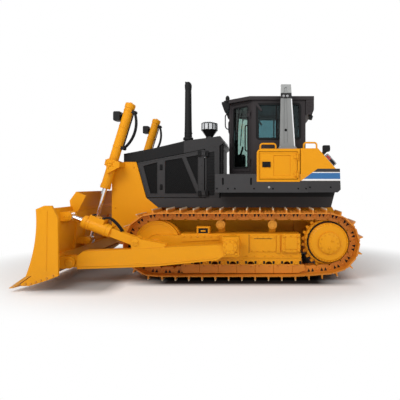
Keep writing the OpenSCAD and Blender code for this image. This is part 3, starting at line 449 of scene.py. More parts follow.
def dust_film():
    """Dry dust: more of it low on the machine and on faces that look up, broken by two sizes of noise."""
    tree, got, out = group(
        "dust_film",
        [
            ("Color", COLOR, (1, 1, 1, 1)), ("Dust", COLOR, (0.4, 0.3, 0.2, 1)), ("Amount", VALUE, 0.3),
            ("Top", VALUE, 1.4), ("Roughness", VALUE, 0.4),
        ],
        [("Color", COLOR), ("Roughness", VALUE)],
    )
    place = spot_of(tree)
    height = add(tree, "ShaderNodeSeparateXYZ", {0: place}).outputs[2]
    low = ramp(tree, height, got["Top"], 0.0)
    normal = add(tree, "ShaderNodeNewGeometry").outputs["Normal"]
    up = maths(tree, "MAXIMUM", add(tree, "ShaderNodeSeparateXYZ", {0: normal}).outputs[2], 0.0)
    lies = maths(tree, "MULTIPLY_ADD", up, 0.45, low)
    broad = noise(tree, place, 3.1, 6.0, 0.62)
    fine = noise(tree, place, 46.0, 3.0)
    patch = ramp(tree, maths(tree, "MULTIPLY", broad, fine), 0.16, 0.42)
    film = maths(tree, "MULTIPLY", maths(tree, "MULTIPLY", lies, patch), got["Amount"], clamp=True)
    dull = maths(tree, "MULTIPLY_ADD", film, 0.45, got["Roughness"], clamp=True)
    feed(tree, out, {"Color": blend(tree, film, got["Color"], got["Dust"]), "Roughness": dull})
    return tree


def rub_marks():
    """Bare rubbed metal: long thin scratches and worn patches, as a mask."""
    tree, got, out = group(
        "rub_marks",
        [("Scale", VALUE, 12.0), ("Amount", VALUE, 0.5)],
        [("Mask", VALUE), ("Height", VALUE)],
    )
    place = spot_of(tree)
    drawn = add(tree, "ShaderNodeMapping", {"Vector": place, "Scale": (0.25, 1.0, 1.0)}).outputs[0]
    marks = noise(tree, drawn, got["Scale"], 8.0, 0.7)
    edge = maths(tree, "SUBTRACT", 0.86, maths(tree, "MULTIPLY", got["Amount"], 0.5))
    mask = ramp(tree, marks, edge, maths(tree, "ADD", edge, 0.08))
    feed(tree, out, {"Mask": mask, "Height": marks})
    return tree


GROUPS = {}


def use(tree, name, values):
    """Places a shared node group in a material."""
    made = tree.nodes.new("ShaderNodeGroup")
    made.node_tree = GROUPS[name]
    feed(tree, made.inputs, values)
    return made.outputs


def wire(tree, shader, **sockets):
    """Gives a shader's inputs, named with underscores, their values or links."""
    feed(tree, shader.inputs, {key.replace("_", " "): value for key, value in sockets.items()})


def fresh(name, **sockets):
    """A new material with its Principled shader's plain values."""
    made = bpy.data.materials.new(name)
    made.use_nodes = True
    shader = made.node_tree.nodes["Principled BSDF"]
    wire(made.node_tree, shader, **sockets)
    return made.node_tree, shader, made


def place_of(tree):
    """The x, y and z of a point of the object."""
    return add(tree, "ShaderNodeSeparateXYZ", {0: spot_of(tree)}).outputs


def dusted(tree, colour, amount, top, rough):
    """The dust film over a colour, up to the height named as its top."""
    values = {
        "Color": colour, "Dust": rgba(colours().dust), "Amount": amount, "Top": top, "Roughness": rough
    }
    return use(tree, "dust_film", values)


def bumped(tree, height, distance, strength, **normal):
    """A Bump node's normal."""
    values = {"Height": height, "Distance": distance, "Strength": strength}
    return add(tree, "ShaderNodeBump", values | normal).outputs[0]


def coated(name, colour, tone, dust, top, rough, peel=0.0015, edge=0.006, zones=None, **sockets):
    """Paint on metal: tone, dust and orange peel, its sharp edges softened; zones may repaint parts."""
    tree, shader, made = fresh(name, **sockets)
    ground = zones(tree, rgba(colour)) if zones else rgba(colour)
    skin = use(tree, "paint_skin", {"Color": ground, "Tone": tone})
    film = dusted(tree, skin["Color"], dust, top, rough)
    soft = add(tree, "ShaderNodeBevel", {"Radius": edge}, samples=4).outputs[0]
    relief = bumped(tree, skin["Height"], peel, 0.25, Normal=soft)
    wire(tree, shader, Base_Color=film["Color"], Roughness=film["Roughness"], Normal=relief)
    return made


def rubbed(name, colour, bare, amount, scale, rough, dust=0.35, zones=None):
    """Painted metal rubbed bright in scratches and patches; zones may bare parts of it."""
    tree, shader, made = fresh(name, Roughness=rough)
    marks = use(tree, "rub_marks", {"Scale": scale, "Amount": amount})
    worn = blend(tree, marks["Mask"], rgba(colour), rgba(bare))
    skin = use(tree, "paint_skin", {"Color": zones(tree, worn) if zones else worn, "Tone": 0.2})
    film = dusted(tree, skin["Color"], dust, 1.6, rough)
    soft = add(tree, "ShaderNodeBevel", {"Radius": 0.004}, samples=4).outputs[0]
    relief = bumped(tree, marks["Height"], 0.002, 0.3, Normal=soft)
    metal = maths(tree, "MULTIPLY", marks["Mask"], 0.8)
    wire(tree, shader, Base_Color=film["Color"], Roughness=film["Roughness"], Metallic=metal, Normal=relief)
    return made


def plated(name):
    """Hard chrome on a rod: near mirror with fine lengthwise marks and a trace of oil."""
    tree, shader, made = fresh(name, Metallic=1.0)
    marks = use(tree, "rub_marks", {"Scale": 60.0, "Amount": 0.6})
    shader.inputs["Base Color"].default_value = (0.82, 0.83, 0.85, 1)
    wire(tree, shader, Roughness=ramp(tree, marks["Height"], first=0.10, last=0.26))
    return made


def pane(name, colour):
    """Tinted window glass with a faint film of dirt in its roughness."""
    tree, shader, made = fresh(name, Transmission_Weight=1.0, IOR=1.45)
    place = spot_of(tree)
    film = noise(tree, place, 5.0, 6.0)
    tint = blend(tree, ramp(tree, film, 0.3, 0.7), rgba(colour, 0.92), rgba(colour))
    wire(tree, shader, Base_Color=tint, Roughness=ramp(tree, film, 0.45, 0.75, 0.0, 0.06))
    return made


def moulded(name, colour, rough=0.6, grain=420.0):
    """Moulded rubber or plastic with a fine grain."""
    tree, shader, made = fresh(name, Specular_IOR_Level=0.2)
    place = spot_of(tree)
    fine = noise(tree, place, grain, 3.0)
    broad = noise(tree, place, 4.0, 3.0)
    tone = blend(tree, broad, rgba(colour, 0.75), rgba(colour, 1.3))
    worn = ramp(tree, broad, first=rough - 0.12, last=rough + 0.12)
    wire(tree, shader, Base_Color=tone, Roughness=worn, Normal=bumped(tree, fine, 0.0008, 0.4))
    return made


def cloth(name, colour):
    """Woven seat cloth: crossed ribs of two wave textures, with a soft sheen."""
    tree, shader, made = fresh(name, Sheen_Weight=0.4, Sheen_Roughness=0.5, Roughness=0.9)
    place = spot_of(tree)
    warp = add(tree, "ShaderNodeTexWave", {"Vector": place, "Scale": 160.0}, bands_direction="X").outputs[1]
    weft = add(tree, "ShaderNodeTexWave", {"Vector": place, "Scale": 160.0}, bands_direction="Y").outputs[1]
    weave = maths(tree, "MULTIPLY", warp, weft)
    tone = blend(tree, weave, rgba(colour, 0.6), rgba(colour, 1.6))
    wire(tree, shader, Base_Color=tone, Normal=bumped(tree, weave, 0.0012, 0.6))
    return made


def lamp_glass(name, colour, glow):
    """Ribbed lamp glass, opaque, lighter and darker across the ribs as painted light; a clear lens's pale
    colour is a painted reflection of a bright reflector behind it.
    """
    tree, shader, made = fresh(name, Coat_Weight=0.8, Roughness=0.12)
    y, z = place_of(tree)[1:]
    ribs = maths(tree, "SINE", maths(tree, "MULTIPLY", y, 420.0))
    bars_up = maths(tree, "SINE", maths(tree, "MULTIPLY", z, 420.0))
    relief = maths(tree, "MAXIMUM", ribs, bars_up)
    share = maths(tree, "MULTIPLY_ADD", relief, 0.5, 0.5)
    # Painted light across the ribs: one phase of the rib grid is darkened by the glow factor.
    tone = blend(tree, share, rgba(colour, glow), rgba(colour))
    wire(tree, shader, Base_Color=tone, Normal=bumped(tree, relief, 0.002, 0.5))
    return made


# Zones: parts of a painted node that carry another colour, told apart by place; some are painted shade and
# one is a painted highlight


FENDER_SIDE = 1.142
STRIPE_Z = (1.757, 1.789, 1.899, 1.915, 1.975)
STRIPE_FOOT = 1.802
STRIPE_SLOPE = 0.732
SEAM_X = 1.785
# Heights of the strip of painted shade under the platform's edge, on the sills and skirts.
SILL_SHADE_Z = (1.455, 1.60)
LATCH_X, LATCH_Z, LATCH_Y = (1.0995, 1.2505), (1.9995, 2.1005), 1.1505
POST_REAR, POST_FOOT, POST_LEAN = 1.705, 2.376, 0.0687
# Width and heights of the painted highlight down the posts' rear edge, then the heights of the black band.
POST_HIGHLIGHT, POST_HIGHLIGHT_Z, POST_BAND_Z = 0.020, (2.38, 3.26), (3.27, 3.37)
BOWL_Z = 2.832
PANEL_DEPTH_Y = 0.741
HOOD_SPLIT_X = -0.40
GROUND_TIP, TOP_TIP = 0.024, 1.240
IDLER, SPROCKET = (-0.790, 0.633), (2.280, 0.655)
IDLER_REACH, SPROCKET_REACH = 0.608, 0.585
FAR = 9.0


def sides_only(tree, y, least):
    """One on the two outer side faces, beyond the least distance from the middle."""
    return ramp(tree, maths(tree, "ABSOLUTE", y), least - 0.001, least + 0.001)


def striped(tree, x, z, ground):
    """Stripes on the fender's side, slanted at the front: white, blue, white and dark over a dark foot."""
    kept = colours()
    deep = toned(kept.graphite, 2.6)
    foot, blue, line, dark, top = STRIPE_Z
    rise = maths(tree, "MULTIPLY", maths(tree, "SUBTRACT", x, STRIPE_FOOT), STRIPE_SLOPE)
    behind = within(tree, maths(tree, "SUBTRACT", rise, maths(tree, "SUBTRACT", z, foot)), 0.0, FAR)
    bands = ((foot, blue, kept.white), (blue, line, kept.blue), (line, dark, kept.white), (dark, top, deep))
    for low, high, colour in bands:
        mask = maths(tree, "MULTIPLY", within(tree, z, low, high), behind)
        ground = blend(tree, mask, ground, rgba(colour))
    return blend(tree, within(tree, z, -FAR, foot), ground, rgba(deep))


def tank_zones(tree, ground):
    """Rear tank: stripes on its sides, and a dark sill on its rear face."""
    x, y, z = place_of(tree)
    side = sides_only(tree, y, FENDER_SIDE)
    sill = blend(tree, within(tree, z, -FAR, STRIPE_Z[-1]), ground, rgba(colours().graphite))
    return blend(tree, side, sill, striped(tree, x, z, ground))


def deck_zones(tree, ground):
    """Platform: dark, but its side behind the box takes the tank's yellow and stripes."""
    x, y, z = place_of(tree)
    rear = maths(tree, "MULTIPLY", sides_only(tree, y, FENDER_SIDE), within(tree, x, SEAM_X, FAR))
    return blend(tree, rear, ground, striped(tree, x, z, rgba(colours().yellow)))


def sill_zones(tree, ground):
    """Sills and skirts: a black strip of painted shade under the platform's edge."""
    z = place_of(tree)[2]
    return blend(tree, within(tree, z, *SILL_SHADE_Z), ground, rgba(colours().black, 0.4))


def door_zones(tree, ground):
    """Locker door: the latch plate is black."""
    x, y, z = place_of(tree)
    latch = maths(tree, "MULTIPLY", within(tree, x, *LATCH_X), within(tree, z, *LATCH_Z))
    proud = sides_only(tree, y, LATCH_Y)
    return blend(tree, maths(tree, "MULTIPLY", latch, proud), ground, rgba(colours().black))


def post_zones(tree, ground):
    """Roll-over posts: a pale head over a black band, and a white line of painted highlight down the rear
    edge.
    """
    x, _, z = place_of(tree)
    # Painted highlight: a white strip down the posts' rear edge.
    foot = POST_REAR + POST_LEAN * POST_FOOT - POST_HIGHLIGHT
    edge = maths(tree, "MULTIPLY_ADD", z, -POST_LEAN, foot)
    line = within(tree, maths(tree, "SUBTRACT", x, edge), 0.0, 1.0)
    rear = maths(tree, "MULTIPLY", line, within(tree, z, *POST_HIGHLIGHT_Z))
    kept = colours()
    lit = blend(tree, rear, ground, rgba(kept.white))
    head = blend(tree, within(tree, z, POST_BAND_Z[1], FAR), lit, rgba(kept.grey, 1.5))
    return blend(tree, within(tree, z, *POST_BAND_Z), head, rgba(kept.black))


def cleaner_zones(tree, ground):
    """Pre-cleaner: a clear bowl over its black funnel."""
    z = place_of(tree)[2]
    return blend(tree, within(tree, z, BOWL_Z, FAR), ground, rgba([0.72, 0.74, 0.76]))


def panel_zones(tree, ground):
    """Engine doors: the floors of the sunk panels behind the mesh are black, as painted shade."""
    y = place_of(tree)[1]
    return blend(
        tree, within(tree, maths(tree, "ABSOLUTE", y), 0.0, PANEL_DEPTH_Y, 0.001), ground,
        rgba(colours().black)
    )


def tip_zones(tree, ground):
    """Track shoes: the tips of their bars are worn bright, below, above and round both ends of the chain."""
    x, _, z = place_of(tree)
    soft = 0.006
    below, above = within(tree, z, -FAR, GROUND_TIP, soft), within(tree, z, TOP_TIP, FAR, soft)
    tips = maths(tree, "MAXIMUM", below, above)
    front, rear = (-FAR, IDLER[0]), (SPROCKET[0], FAR)
    for wheel, reach, span in ((IDLER, IDLER_REACH, front), (SPROCKET, SPROCKET_REACH, rear)):
        off = [maths(tree, "SUBTRACT", place, at) for place, at in zip((x, z), wheel)]
        squares = [maths(tree, "POWER", d, 2.0) for d in off]
        distance = maths(tree, "SQRT", maths(tree, "ADD", *squares))
        end = maths(tree, "MULTIPLY", within(tree, distance, reach, FAR, soft), within(tree, x, *span))
        tips = maths(tree, "MAXIMUM", tips, end)
    return blend(tree, tips, ground, rgba((0.62, 0.47, 0.30)))


def hood_zones(tree, ground):
    """Hood: the front half is black."""
    x = place_of(tree)[0]
    return blend(tree, within(tree, x, -FAR, HOOD_SPLIT_X), ground, rgba(colours().black))


FINISH = {}
FINISH_NODES = {
    "yellow": "main_frame rear_case radiator_guard left_box hydraulic_tank handrails final_drives "
    "equalizer_bar push_arms blade lift_barrel_left lift_barrel_right tilt_barrel_left tilt_barrel_right "
    "idlers track_frames sprockets pivot_shafts",
    "tank": "fuel_tank",
    "locker": "box_door",
    "hood": "hood",
    "cab": "cab_front cab_left_side cab_right_side cab_rear cab_roof cab_door_left cab_door_right",
    "deck": "platform",
    "panel": "engine_door_left engine_door_right",
    "sill": "hood_sills",
    "black": "radiator_core exhaust_stack lift_fitting_left lift_fitting_right",
    "engine": "engine_block",
    "cleaner": "air_precleaner",
    "post": "rops_posts rops_beam",
    "rod": "lift_rod_left lift_rod_right tilt_rod_left tilt_rod_right",
    "chain": "track_left track_right",
    "roller": "track_rollers carrier_rollers",
    "edge": "cutting_edge",
    "glass": "cab_glass",
    "door_glass": "door_glass_left door_glass_right",
    "plastic": "operator_console work_lamps",
    "cloth": "operator_seat",
}


def make_finishes():
    """Builds the shared groups and every finish once."""
    kept = colours()
    GROUPS.update(paint_skin=paint_skin(), dust_film=dust_film(), rub_marks=rub_marks())
    body = dict(tone=0.07, dust=0.16, top=1.0, rough=0.45, Coat_Weight=0.03, Specular_IOR_Level=0.14)
    dark = dict(tone=0.12, dust=0.05, top=1.0, rough=0.5, Specular_IOR_Level=0.22)
    FINISH.update(
        yellow=coated("machine_yellow", kept.yellow, **body),
        tank=coated("tank_yellow_striped", kept.yellow, zones=tank_zones, **body),
        locker=coated("locker_yellow", kept.yellow, zones=door_zones, **body),
        graphite=coated("graphite_paint", kept.graphite, **dark),
        cab=coated(
            "cab_graphite", [1.9 * kept.graphite[0], 1.65 * kept.graphite[1], 1.7 * kept.graphite[2]], **dark
        ),
        hood=coated("hood_graphite", toned(kept.graphite, 1.9), zones=hood_zones, **dark),
        mesh=coated("mesh_black", toned(kept.black, 0.8), 0.1, 0.02, 1.0, 0.6, Specular_IOR_Level=0.1),
        deck=coated("deck_graphite", toned(kept.graphite, 2.9), zones=deck_zones, **dark),
        panel=coated("door_graphite", toned(kept.graphite, 2.2), zones=panel_zones, **dark),
        sill=coated("sill_dark", toned(kept.graphite, 2.4), zones=sill_zones, **dark),
        black=coated("stack_black", kept.black, 0.15, 0.03, 1.0, 0.58, Specular_IOR_Level=0.25),
        engine=rubbed("engine_iron", (0.06, 0.06, 0.062), (0.3, 0.3, 0.3), 0.5, 9.0, 0.6),
        cleaner=coated(
            "cleaner_black", kept.black, 0.1, 0.05, 1.0, 0.3, zones=cleaner_zones, Coat_Weight=0.4
        ),
        post=coated("post_grey", kept.grey, 0.06, 0.05, 1.0, 0.42, zones=post_zones, Coat_Weight=0.15),
        rod=plated("rod_chrome"),
        chain=rubbed("chain_paint", kept.chain, (0.60, 0.27, 0.05), 0.42, 14.0, 0.5, 0.08, tip_zones),
        roller=coated("roller_yellow", toned(kept.yellow, 0.9), 0.12, 0.6, 1.3, 0.45),
        edge=rubbed("edge_steel", toned(kept.yellow, 0.9), (0.55, 0.52, 0.48), 0.55, 9.0, 0.42),
        glass=pane("cab_glass_tint", kept.glass),
        # A lighter copy of the cab glass as painted light.
        door_glass=pane("door_glass_lit_tint", kept.door_glass),
        rubber=moulded("rubber_black", kept.rubber, 0.62),
        plastic=moulded("lamp_black", kept.black, 0.5),
        cloth=cloth("seat_cloth", kept.fabric),
        lens=lamp_glass("lamp_lens", kept.lens, 0.55),
        red=lamp_glass("tail_lens", kept.red, 0.5),
        steel=rubbed("bolt_zinc", (0.36, 0.36, 0.37), (0.6, 0.6, 0.6), 0.6, 30.0, 0.4, 0.1),
    )


class DOZER_OT_finishes(bpy.types.Operator):
    """Give every solid of the machine its paint, glass or metal"""

    bl_idname = "dozer.finishes"
    bl_label = "Finishes"

    def execute(self, context):
        make_finishes()
        for finish, names in FINISH_NODES.items():
            for name in names.split():
                slots = NODES[name].data.materials
                slots.clear()
                slots.append(FINISH[finish])
        return {"FINISHED"}


SENSOR, LENS, SHIFT = 36.0, 32.94, (-0.155, -0.0375)
CAMERA_AT = (1.095, -7.75, 1.68)
AIM = (0, 0, 1.2)
LIGHTS = (
    ("key", (-3.5, -6.5, 7.0), 5.0, 410.0),
    ("fill", (6.0, -7.0, 4.5), 6.0, 175.0),
    ("back", (1.0, 6.5, 6.5), 6.0, 240.0),
)
SKY_LIGHT = 0.46
FLOOR_HALF = 60.0


class DOZER_OT_studio(bpy.types.Operator):
    """Set up the camera of the side view, the soft lights, the white world and the floor"""

    bl_idname = "dozer.studio"
    bl_label = "Studio"

    def execute(self, context):
        scene = context.scene
        scene.view_settings.view_transform = "Standard"
        lens = bpy.data.cameras.new("side_camera")
        lens.sensor_width = SENSOR
        lens.lens = LENS
        lens.shift_x, lens.shift_y = SHIFT
        camera = bpy.data.objects.new("side_camera", lens)
        camera.location = CAMERA_AT
        camera.rotation_euler = (math.pi / 2, 0, 0)
        scene.collection.objects.link(camera)
        scene.camera = camera
        for name, place, size, watts in LIGHTS:
            light = bpy.data.lights.new(name, "AREA")
            light.size = size
            light.energy = watts
            lamp = bpy.data.objects.new(name, light)
            lamp.location = place
            lamp.rotation_euler = (Vector(AIM) - Vector(place)).to_track_quat("-Z", "Y").to_euler()
            lamp.visible_transmission = False
            scene.collection.objects.link(lamp)
        self.world(scene)
        self.floor(scene)
        return {"FINISHED"}

    def world(self, scene):
        """White where the camera or a pane sees it, and a softer white light elsewhere."""
        sky = bpy.data.worlds.new("studio_white")
        sky.use_nodes = True
        scene.world = sky
        tree = sky.node_tree
        tree.nodes.clear()
        path = add(tree, "ShaderNodeLightPath").outputs
        seen = maths(tree, "MAXIMUM", path["Is Camera Ray"], path["Is Transmission Ray"])
        power = ramp(tree, seen, first=SKY_LIGHT)
        light = add(tree, "ShaderNodeBackground", {"Color": (1, 1, 1, 1), "Strength": power}).outputs[0]
        add(tree, "ShaderNodeOutputWorld", {"Surface": light})

    def floor(self, scene):
        """A flat floor: a painted shadow under the machine and, less dark, before the blade; white round it,
        and the white of the world further away.
        """
        mesh = bpy.data.meshes.new("floor")
        corners = rect(-FLOOR_HALF, -FLOOR_HALF, FLOOR_HALF, FLOOR_HALF)
        mesh.from_pydata([(x, y, 0) for x, y in corners], [], [(0, 1, 2, 3)])
        plane = bpy.data.objects.new("floor", mesh)
        scene.collection.objects.link(plane)
        tree, shader, made = fresh("floor_white", Roughness=0.8, Specular_IOR_Level=0.1)
        x, y, _ = place_of(tree)
        # Painted shadow: the floor turns near black over the machine's footprint and, at 0.6 of that, before
        # the blade.
        under = maths(
            tree, "MULTIPLY", within(tree, x, -0.95, 2.45, 0.40), within(tree, y, -1.60, 1.60, 0.10)
        )
        ahead = maths(
            tree, "MULTIPLY", within(tree, x, -2.52, -1.30, 0.16), within(tree, y, -2.05, 2.05, 0.20)
        )
        painted_shadow = maths(tree, "MAXIMUM", under, maths(tree, "MULTIPLY", ahead, 0.6))
        wire(tree, shader, Base_Color=blend(tree, painted_shadow, (0.9, 0.9, 0.9, 1), (0.012, 0.009, 0.008, 1)))
        share = [maths(tree, "DIVIDE", place, reach) for place, reach in ((x, 4.6), (y, 3.0))]
        far = maths(tree, "ADD", *(maths(tree, "POWER", s, 2.0) for s in share))
        fade = ramp(tree, far, 0.55, 1.4, interpolation_type="SMOOTHSTEP")
        glow = add(tree, "ShaderNodeEmission", {"Color": (1, 1, 1, 1), "Strength": 1.0}).outputs[0]
        path = add(tree, "ShaderNodeLightPath").outputs
        seen = maths(tree, "MAXIMUM", path["Is Camera Ray"], path["Is Glossy Ray"])
        seen = maths(tree, "MAXIMUM", seen, path["Is Transmission Ray"])
        mix = add(
            tree, "ShaderNodeMixShader",
            {0: maths(tree, "MULTIPLY", fade, seen), 1: shader.outputs[0], 2: glow}
        )
        tree.links.new(mix.outputs[0], tree.nodes["Material Output"].inputs["Surface"])
        mesh.materials.append(made)


# Undercarriage


TRACK_Y = 1.067
RAIL_OUT = 0.108
SHOES = 39
CARRIERS = ((0.349, 0.9664), (1.283, 0.9664))
PIVOT = (1.610, 0.650)
SHOE_FACE = 0.081
FRAME_OUT = 1.232
WEDGE_ENDS = np.array([[0, 1, 2], [5, 4, 3]])
WEDGE_SIDES = np.array([[0, 3, 4, 1], [1, 4, 5, 2], [2, 5, 3, 0]])
DISCS = np.array([[2.280, 0.655, 0.45606], [-0.790, 0.63325, 0.48025], [1.69894, 0.326, 0.173]])


def pair(name, shapes, finish, body, sharp=40):
    """The same piece on the machine's right and, mirrored, on its left; the body's name takes the side."""
    shape = join(shapes)
    put(name + "_right", [shape], FINISH[finish], body.format("right"), sharp)
    put(name + "_left", [flip(shape)], FINISH[finish], body.format("left"), sharp)


def side_points(flat, y):
    """Points of the side view, given as x and z, at a distance y from the middle."""
    flat = np.atleast_2d(np.asarray(flat, float))
    return np.stack([flat[:, 0], np.full(len(flat), y), flat[:, 1]], 1)


def circle_of(at, radius, count, turn=0.0):
    """Points of the side view evenly round a circle: at + radius * (cos t, sin t)."""
    t = turn + np.linspace(0, 2 * math.pi, count, endpoint=False)
    return np.asarray(at, float) + radius * np.stack([np.cos(t), np.sin(t)], 1)


def plate_on(outline, y, depth, bevel=0.003):
    """A plate with a side-view outline, standing out from y towards the outside."""
    return slab(np.asarray(outline, float)[:, ::-1], (0, y, 0), Z, X, depth, bevel)


def slot_shade_on(outline, y):
    """A thin plate, to be dark, that stands for an open slot in a face at y: painted shade inside the slot.
    """
    return plate_on(outline, y - 0.0005, 0.003, 0.001)


def side_bolts(size, flat, y):
    """Bolt heads at points of the side view, at a distance y from the middle, turned outwards."""
    return copies(bolt(size), side_points(flat, y), Y)


def chain():
    """Pins of the chain, with each link's direction and outward normal, in the side view.

    The pin line is a belt round three discs. The normal of the line that touches discs a and b has the
    angle of b - a less acos((ra - rb) / |b - a|), and the pins divide the belt's length evenly.
    """
    ahead = np.roll(DISCS, -1, 0) - DISCS
    span = np.linalg.norm(ahead[:, :2], axis=1)
    start = np.arctan2(ahead[:, 1], ahead[:, 0]) - np.arccos(-ahead[:, 2] / span) + 2 * math.pi
    stop = np.roll(start, -1) + [0, 0, 2 * math.pi]
    t = start[:, None] + (stop - start)[:, None] * np.linspace(0, 1, 240)
    disc = np.roll(DISCS, -1, 0)[:, None]
    round_discs = (disc[..., :2] + disc[..., 2:] * np.stack([np.cos(t), np.sin(t)], -1)).reshape(-1, 2)
    belt = np.concatenate([round_discs[-1:], round_discs])
    run = np.concatenate([[0], np.cumsum(np.linalg.norm(np.diff(belt, axis=0), axis=1))])
    s = np.linspace(0, run[-1], SHOES, endpoint=False)
    pins = np.stack([np.interp(s, run, belt[:, k]) for k in range(2)], 1)
    link = np.roll(pins, -1, 0) - pins
    link /= np.linalg.norm(link, axis=1, keepdims=True)
    return pins, link, np.stack([link[:, 1], -link[:, 0]], 1)


def on_links(along, rise, y):
    """One point on every link: the pin moved along the link and outwards from it."""
    pins, link, out = chain()
    return side_points(pins + along * link + rise * out, y)


class DOZER_OT_chains(bpy.types.Operator):
    """Put the pin ends, dark wedges of painted shade in the open windows of the links, the shoe bolts and
    the shoe lips on both chains
    """

    bl_idname = "dozer.chains"
    bl_label = "Chains"

    def execute(self, context):
        pins, link, out = chain()
        axes = np.stack([out[:, 0], np.zeros(SHOES), out[:, 1]], 1)
        end = [(0.036, 0), (0.038, 0.006), (0.034, 0.012), (0.020, 0.012), (0.017, 0.008)]
        cap = lathe(end, (0, 0, 0), Z, 14)
        face = TRACK_Y + RAIL_OUT
        ends = [
            copies(cap, side_points(pins, face), Y), copies(cap, side_points(pins, 2 * TRACK_Y - face), -Y)
        ]
        pair("chain_pin_ends", ends, "chain", "tractor")
        pitch = np.linalg.norm(pins[1] - pins[0])
        # The two windows of each link are dark wedges of painted shade.
        windows = []
        for middle in (pitch / 2 - 0.034, pitch / 2 + 0.034):
            corner = [
                pins + (middle + a) * link + h * out
                for a, h in ((-0.027, 0.050), (0.027, 0.050), (0, -0.014))
            ]
            low = np.stack([side_points(c, face - 0.001) for c in corner], 1)
            high = np.stack([side_points(c, face + 0.0025) for c in corner], 1)
            wedge = np.concatenate([low, high], 1)
            faces = [repeated(f, SHOES, 6) for f in (WEDGE_ENDS, WEDGE_SIDES)]
            windows.append((wedge.reshape(-1, 3), faces))
        pair("chain_window_shade", windows, "rubber", "tractor")
        nuts = []
        for across_y in (-0.078, 0.078):
            for along in (0.118, 0.186):
                nuts.append(
                    copies(bolt(sizes().shoe_bolt), on_links(along, SHOE_FACE, TRACK_Y + across_y), axes)
                )
        pair("shoe_bolts", nuts, "chain", "tractor")
        lips = []
        for edge in (-0.274, 0.274):
            starts = on_links(0.012, SHOE_FACE - 0.001, TRACK_Y + edge)
            ends = on_links(pitch - 0.012, SHOE_FACE - 0.001, TRACK_Y + edge)
            lips.append(bars(starts, ends, axes, 0.010, 0.004))
        pair("shoe_lips", lips, "chain", "tractor")
        return {"FINISHED"}


